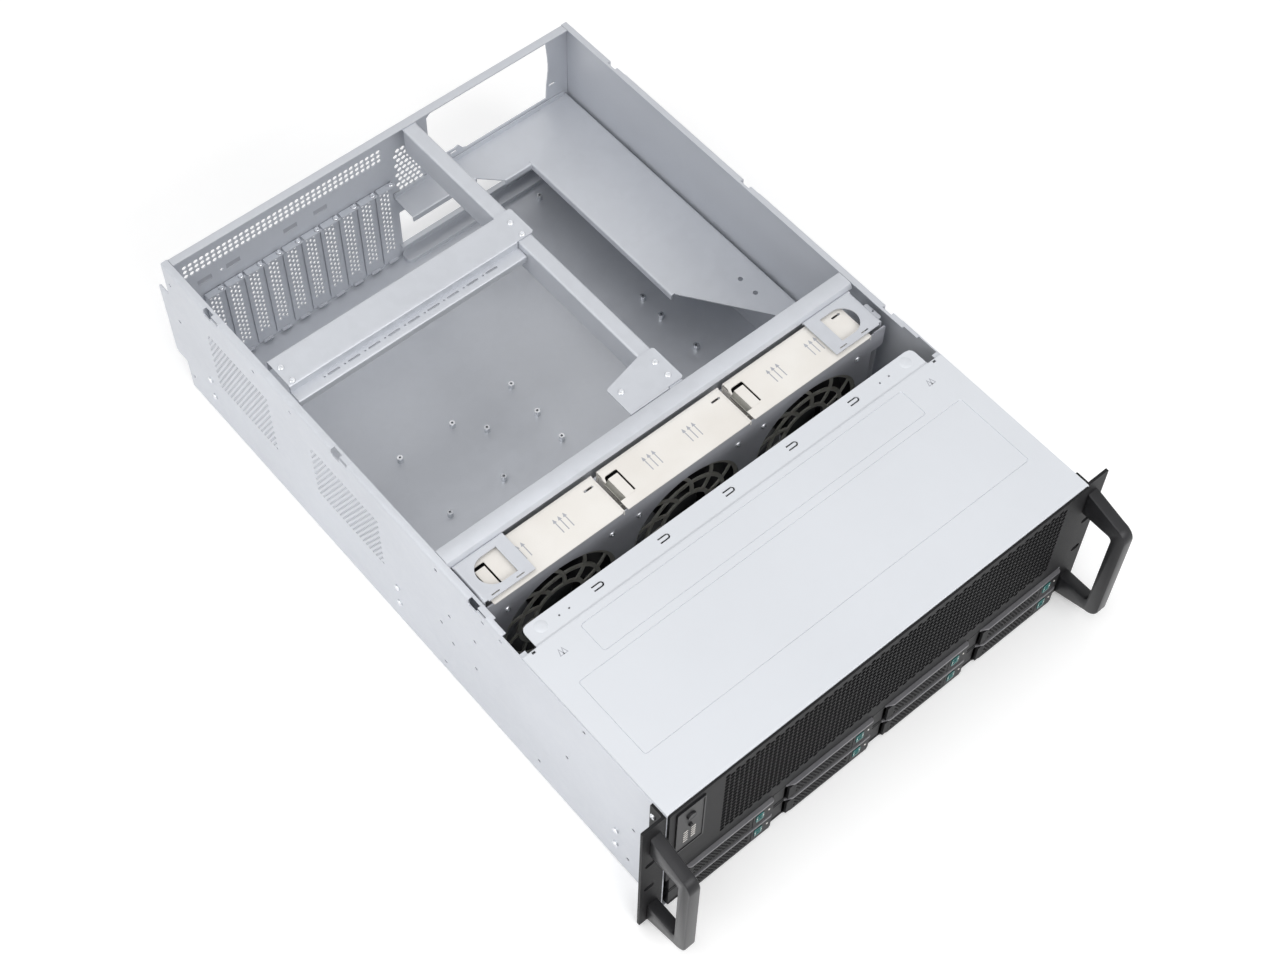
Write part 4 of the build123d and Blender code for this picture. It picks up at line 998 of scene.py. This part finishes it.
def pullLever(number, x, z):
    low, high, pin = z + 2.6, z + bay["height"] - 2.6, x + bay["pinX"]
    start, flat, end = x + lever["start"], x + lever["flat"], x + lever["end"]
    back, face = lever["back"], lever["face"]
    rim = [(end, back), (flat, back), *arcLoop(pin, bay["pinY"], 2.3, 45, 135, 6), (start, back),
           (start, face), (end - 0.4, face), (end, face + 0.4)]
    holes = [ringLoop(flat + 2.8 + (i + 0.5 * (j % 2)) * lever["pitch"],
                      low + 4.2 + j * lever["rise"], lever["hole"], 6, pi / 6)
             for j in range(lever["rows"]) for i in range(lever["columns"])]
    skin = boxLoop(flat, end - 0.1, low + 1.6, high - 1.6)
    pinShape = [(0.9, 0), (1.0, 0.2), (1.0, 23.4), (0.9, 23.6)]
    meshes = [plate("flat", level, rim, (), 1.6) for level in (low, high - 1.6)]
    meshes += [plate("front", face + 0.05, skin, holes, 1.2),
               block(start + 0.1, flat, face + 0.05, back, low + 1.6, high - 1.6, 0.1),
               block(end - 3.8, end - 0.1, -1.95, back, low + 1.6, high - 1.6, 0.1),
               turned("z", (pin, bay["pinY"], z + 1.0), pinShape, 20),
               block(end - 3.2, end, back, 4.0, z + 10.4, z + 15.2, 0.3)]  # the hook
    piece(f"lever_door_{number}", meshes, "black_paint", f"pull_lever_{number}",
          [f"drive_lever_{number}"])


def latchKey(number, x, z):
    key, mid = x + bay["latchX"], z + bay["height"] / 2
    face = softLoop(key - 4, key + 4, mid - 5.4, mid + 5.4, 1.4, 4)
    meshes = [plate("front", -3.6, face, (), 6.6),
              block(key - 4.5, key + 5.7, 2.8, 4.2, mid - 8.9, mid + 8.9, 0.2)]
    for k in range(4):
        rib = mid - 3.3 + 2.0 * k
        meshes.append(block(key - 2.2, key + 2.2, -3.95, -3.5, rib, rib + 0.8, 0.15))
    piece(f"latch_key_{number}", meshes, "teal_plastic", f"latch_{number}",
          [f"drive_button_{number}"])


# Two pale dots on the latch, one at each end of its ribs
def latchDots(number, x, z):
    key, mid = x + bay["latchX"], z + bay["height"] / 2
    dot = [(0.35, 0), (0.62, 0.12), (0.62, 0.3)]
    meshes = [turned("y", (key + shift, -3.8, mid + 0.4), dot, 14) for shift in (-3.1, 3.1)]
    piece(f"latch_dots_{number}", meshes, "cream_paint", f"latch_{number}")


def carrierLamp(number, x, z):
    place = (x + bay["lampX"], -3.3, z + bay["height"] / 2)
    lens = turned("y", place, [(0.6, 0), (0.95, 0.25), (1.0, 1.4)], 14)
    piece(f"carrier_lamp_{number}", [lens], "cream_paint", f"carrier_{number}")


number = 0
for z in bay["rows"]:
    for column in range(4):
        number += 1
        x = (column - 2) * bay["pitch"] + (bay["pitch"] - bay["width"]) / 2
        carrier(number, x, z)
        carrierStrip(number, x, z)
        pullLever(number, x, z)
        latchKey(number, x, z)
        latchDots(number, x, z)
        carrierLamp(number, x, z)
print("drive bays made")

# Rack ears: slotted, with a side flange and its screws
ear = {"inner": 219.0, "outer": 241.3, "front": 1.5, "thick": 2.5, "slotX": 232.55,
       "slots": (65.8, 110.25), "slotHalf": 5.0, "slotR": 3.4, "screws": (160.0, 20.0),
       "screwY": 13.0}


def rackEar(side):
    x0, x1, r = ear["slotX"] - ear["slotHalf"], ear["slotX"] + ear["slotHalf"], ear["slotR"]
    holes = [softLoop(x0, x1, z - r, z + r, r - 0.01, 8) for z in ear["slots"]]
    bores = [ringLoop(ear["screwY"], z, 1.8, 20) for z in ear["screws"]]
    face = softLoop(ear["inner"], ear["outer"], 0, caseTop, 1.6, 4)
    flange = softLoop(4.0, 17.0, 1.5, 174.5, 1.5, 3)
    meshes = [plate("front", ear["front"], face, holes, ear["thick"]),
              plate("side", ear["inner"] + 0.02, flange, bores, 2.2)]
    if side < 0:
        meshes = [mirroredMesh(mesh) for mesh in meshes]
    name = "right" if side > 0 else "left"
    piece("rack_ear_" + name, meshes, "black_paint", "case", ["ear_" + name])


# Pull handle: one bar with rounded corners, bent forward and back to the ear
handle = {"inner": 223.0, "outer": 234.0, "face": -43.0, "grip": -30.0, "foot": 1.5, "low": 3.0,
          "high": 157.0, "windowLow": 29.0, "windowHigh": 129.0, "corner": 4.0, "bend": 13.0,
          "bendLow": 27.0, "bendHigh": 133.0, "ease": 1.3}


# A bar with this outline in y and z, its two long rims eased inward
def easedBar(outline, x0, x1, ease):
    build = bmesh.new()
    corners = []
    for i, point in enumerate(outline):
        a, b, c = Vector(outline[i - 1]), Vector(point), Vector(outline[(i + 1) % len(outline)])
        n1 = Vector((-(b - a).y, (b - a).x)).normalized()
        n2 = Vector((-(c - b).y, (c - b).x)).normalized()
        normal = (n1 + n2).normalized()
        corners.append((b, normal / max(0.5, normal.dot(n1))))
    rows = []
    for x, depth in ((x0, 1.0), (x0 + ease * 0.3, 0.3), (x0 + ease, 0.0), (x1 - ease, 0.0),
                     (x1 - ease * 0.3, 0.3), (x1, 1.0)):
        rows.append([build.verts.new((x, *(p + n * ease * depth))) for p, n in corners])
    joinRows(build, rows)
    build.faces.new(rows[0])
    build.faces.new(reversed(rows[-1]))
    return meshFrom(build)


def pullHandle(side):
    foot, inner, r, bend = handle["foot"], handle["grip"], handle["corner"], handle["bend"]
    low, high, centre = handle["windowLow"], handle["windowHigh"], handle["face"] + bend
    outline = [(foot, handle["low"]), (foot, low), *arcLoop(inner + r, low + r, r, 270, 180, 5),
               *arcLoop(inner + r, high - r, r, 180, 90, 5), (foot, high), (foot, handle["high"]),
               *arcLoop(centre, handle["bendHigh"], bend, 95, 180, 9),
               *arcLoop(centre, handle["bendLow"], bend, 180, 265, 9)]
    mesh = easedBar(outline, handle["inner"], handle["outer"], handle["ease"])
    if side < 0:
        mesh = mirroredMesh(mesh)
    name = "right" if side > 0 else "left"
    piece("pull_handle_" + name, [mesh], "handle_finish", "case", ["handle_" + name], 35)


for side in (-1, 1):
    rackEar(side)
    pullHandle(side)
print("ears and handles made")

# Screws: pan heads with a cross recess
screw = {"r": 2.9, "bar": 0.42, "arm": 1.45, "shank": 1.4}


def screwMeshes(axis, x, y, z):
    r, bar, arm, shank = screw["r"], screw["bar"], screw["arm"], screw["shank"]
    cross = [(bar, bar), (bar, arm), (-bar, arm), (-bar, bar), (-arm, bar), (-arm, -bar),
             (-bar, -bar), (-bar, -arm), (bar, -arm), (bar, -bar), (arm, -bar), (arm, bar)]
    head = [(r - 0.1, 0), (r, 0.3), (r - 0.2, 0.8), (r - 0.7, 1.3), (r - 0.76, 1.3),
            (r - 0.78, 0.8)]
    meshes = [plate("flat", 0.8, ringLoop(0, 0, r - 0.75, 24), [cross], 0.7),
              turned("z", (0, 0, 0), head, 24),
              turned("z", (0, 0, -1.2), [(shank, 0), (shank, 1.25)], 16)]
    turn = {"z": Matrix.Identity(4), "x": Matrix.Rotation(pi / 2, 4, "Y"),
            "-x": Matrix.Rotation(-pi / 2, 4, "Y"), "-y": Matrix.Rotation(pi / 2, 4, "X")}[axis]
    turn = Matrix.Translation((x, y, z)) @ turn @ Matrix.Rotation(0.4 + x + y, 4, "Z")
    for mesh in meshes:
        mesh.transform(turn)
    return meshes


def screwSet(name, places, nodes):
    meshes = []
    for place in places:
        meshes += screwMeshes(*place)
    piece(name, meshes, "bright_steel", "case", nodes, 35)


def allScrews():
    places = [("z", x, y, caseTop) for x, y in bridge["screws"] + bracket["screws"]]
    places += [("z", x + cover["screw"], 644.4, cover["tab"]) for x in slotXs]
    screwSet("screw_set", places, ["screws"])


# Screws that the drawings of the other pieces don't carry: on the ears and at the top of the fans
def smallScrews():
    at = fan["screw"]
    places = [("-y", cx + a * at, 221.0, fan["z"] + at) for cx in fan["centres"] for a in (-1, 1)]
    places += [(axis, side * 221.2, ear["screwY"], z)
               for side, axis in ((-1, "-x"), (1, "x")) for z in ear["screws"]]
    screwSet("small_screws", places, ())


# Hexagonal board standoffs with their threaded holes, and the rail studs on the walls
standoffs = ((-0.4, 464), (-67.5, 464), (-46.6, 440.5), (-1.0, 391), (-125.5, 464), (-67, 390.5),
             (-126, 391), (-0.8, 426), (158, 620), (156, 464), (155, 437), (157, 390))
railStuds = [(y, z) for y in (56.0, 335.5, 607.0) for z in (30.0, 55.0)]


def pressStuds():
    meshes = []
    for x, y in standoffs:
        bore = [ringLoop(x, y, 1.1, 12)]
        meshes += [plate("flat", sheet, ringLoop(x, y, 3.0, 6), bore, 5.9),
                   plate("flat", 7.1, ringLoop(x, y, 2.6, 24), bore, 0.5)]
    for y, z in railStuds:
        for side in (-1, 1):
            stud = turned("x", (tub["half"], y, z), [(3.1, 0), (3.1, 1.2), (2.7, 1.6)], 28)
            meshes.append(mirroredMesh(stud) if side < 0 else stud)
    piece("stud_set", meshes, "bright_steel", "case", ["press_studs"], 35)


allScrews()
smallScrews()
pressStuds()
print("screws and studs made")

# The photograph's camera, solved from the corners of the case
camera = {
    "focal": 2115.136, "centre": (633.297, 480.571), "size": (1280, 960),
    "yaw": 0.723374, "pitch": 1.0028935, "roll": 0.0254902,
    "place": (-643.6175, -434.3249, 1572.2772), "sensor": 36.0, "reach": 100.0,
}


def addCamera(look):
    yaw, pitch, roll = look["yaw"], look["pitch"], look["roll"]
    ahead = Vector((sin(yaw) * cos(pitch), cos(yaw) * cos(pitch), -sin(pitch)))
    flat = ahead.cross(Vector((0, 0, 1))).normalized()
    upright = flat.cross(ahead)
    right = cos(roll) * flat + sin(roll) * upright
    up = -sin(roll) * flat + cos(roll) * upright
    data = bpy.data.cameras.new("photo_camera")
    data.sensor_width = look["sensor"]
    (wide, high), (u, v) = look["size"], look["centre"]
    data.lens = look["focal"] * look["sensor"] / wide
    data.shift_x = (wide / 2 - u) / wide
    data.shift_y = (v - high / 2) / wide
    data.clip_end = look["reach"]
    body = bpy.data.objects.new("photo_camera", data)
    bpy.context.scene.collection.objects.link(body)
    spot = Vector(look["place"]) + Vector((0, -caseDepth / 2, 0))
    turn = Matrix((right, up, -ahead)).transposed().to_4x4()
    body.matrix_world = Matrix.Translation(spot * mm) @ turn
    bpy.context.scene.camera = body


addCamera(camera)


# How much white is added where the camera, a mirror or a clear piece sees the backdrop
def seenByEye(tree, amount, base=0.0):
    path = addNode(tree, "ShaderNodeLightPath")
    mirror = addNode(tree, "ShaderNodeMath", {"operation": "ADD"},
                     [(0, path, "Is Camera Ray"), (1, path, "Is Glossy Ray")])
    every = addNode(tree, "ShaderNodeMath", {"operation": "ADD", "use_clamp": True},
                    [(0, mirror, 0), (1, path, "Is Transmission Ray")])
    return addNode(tree, "ShaderNodeMath", {"operation": "MULTIPLY_ADD", 1: amount, 2: base},
                   [(0, every, 0)])


# Pale paper floor; the added white brings the backdrop to the photograph's white, the shadow stays
studio = {"floor": "#fbfbfb", "floorRough": 0.9, "floorSize": 12.0, "floorLevel": -0.0006,
          "floorGlow": 0.17, "world": 0.5, "worldGlow": 0.5, "fade": (0.8, 2.2),
          "lights": (("key", (2.4, 2.4), 28, (-0.8, -0.1, 2.6)),
                     ("side", (1.8, 0.9), 12, (-2.4, 0.0, 0.8)),
                     ("front", (2.4, 1.2), 32, (0.1, -2.3, 1.7)))}


def addFloor():
    level = (0, 0, studio["floorLevel"])
    bpy.ops.mesh.primitive_plane_add(size=studio["floorSize"], location=level)
    floor = bpy.context.object
    floor.name = "floor"
    material = bpy.data.materials.new("studio_paper_rolled")
    material.use_nodes = True
    tree = material.node_tree
    shader = tree.nodes["Principled BSDF"]
    shader.inputs["Roughness"].default_value = studio["floorRough"]
    shader.inputs["Base Color"].default_value = linear(studio["floor"])
    shader.inputs["Emission Color"].default_value = linear("#ffffff")
    glow = seenByEye(tree, studio["floorGlow"])
    tree.links.new(glow.outputs[0], shader.inputs["Emission Strength"])
    # the paper fades into the backdrop away from the case, so no horizon shows
    place = addNode(tree, "ShaderNodeNewGeometry")
    reach = addNode(tree, "ShaderNodeVectorMath", {"operation": "LENGTH"}, [(0, place, "Position")])
    near, far = studio["fade"]
    fade = addNode(tree, "ShaderNodeMapRange", {"From Min": near, "From Max": far},
                   [("Value", reach, "Value")])
    haze = addNode(tree, "ShaderNodeEmission", {"Color": linear("#ffffff")},
                   [("Strength", seenByEye(tree, studio["worldGlow"], studio["world"]), 0)])
    blend = addNode(tree, "ShaderNodeMixShader", {}, [(0, fade, 0), (1, shader, 0), (2, haze, 0)])
    tree.links.new(blend.outputs[0], tree.nodes["Material Output"].inputs["Surface"])
    floor.data.materials.append(material)


def addLight(name, size, power, place):
    data = bpy.data.lights.new(name, "AREA")
    data.shape = "RECTANGLE"
    data.size, data.size_y = size
    data.energy = power
    lamp = bpy.data.objects.new(name, data)
    bpy.context.scene.collection.objects.link(lamp)
    lamp.location = place
    lamp.rotation_euler = (-Vector(place)).to_track_quat("-Z", "Y").to_euler()


addFloor()
for light in studio["lights"]:
    addLight(*light)
world = bpy.data.worlds.new("studio")
world.use_nodes = True
backdrop = world.node_tree.nodes["Background"]
backdrop.inputs["Color"].default_value = linear("#ffffff")
skyLight = seenByEye(world.node_tree, studio["worldGlow"], studio["world"])
world.node_tree.links.new(skyLight.outputs[0], backdrop.inputs["Strength"])
bpy.context.scene.world = world
bpy.context.scene.view_settings.view_transform = "Standard"
print("camera and lights set")
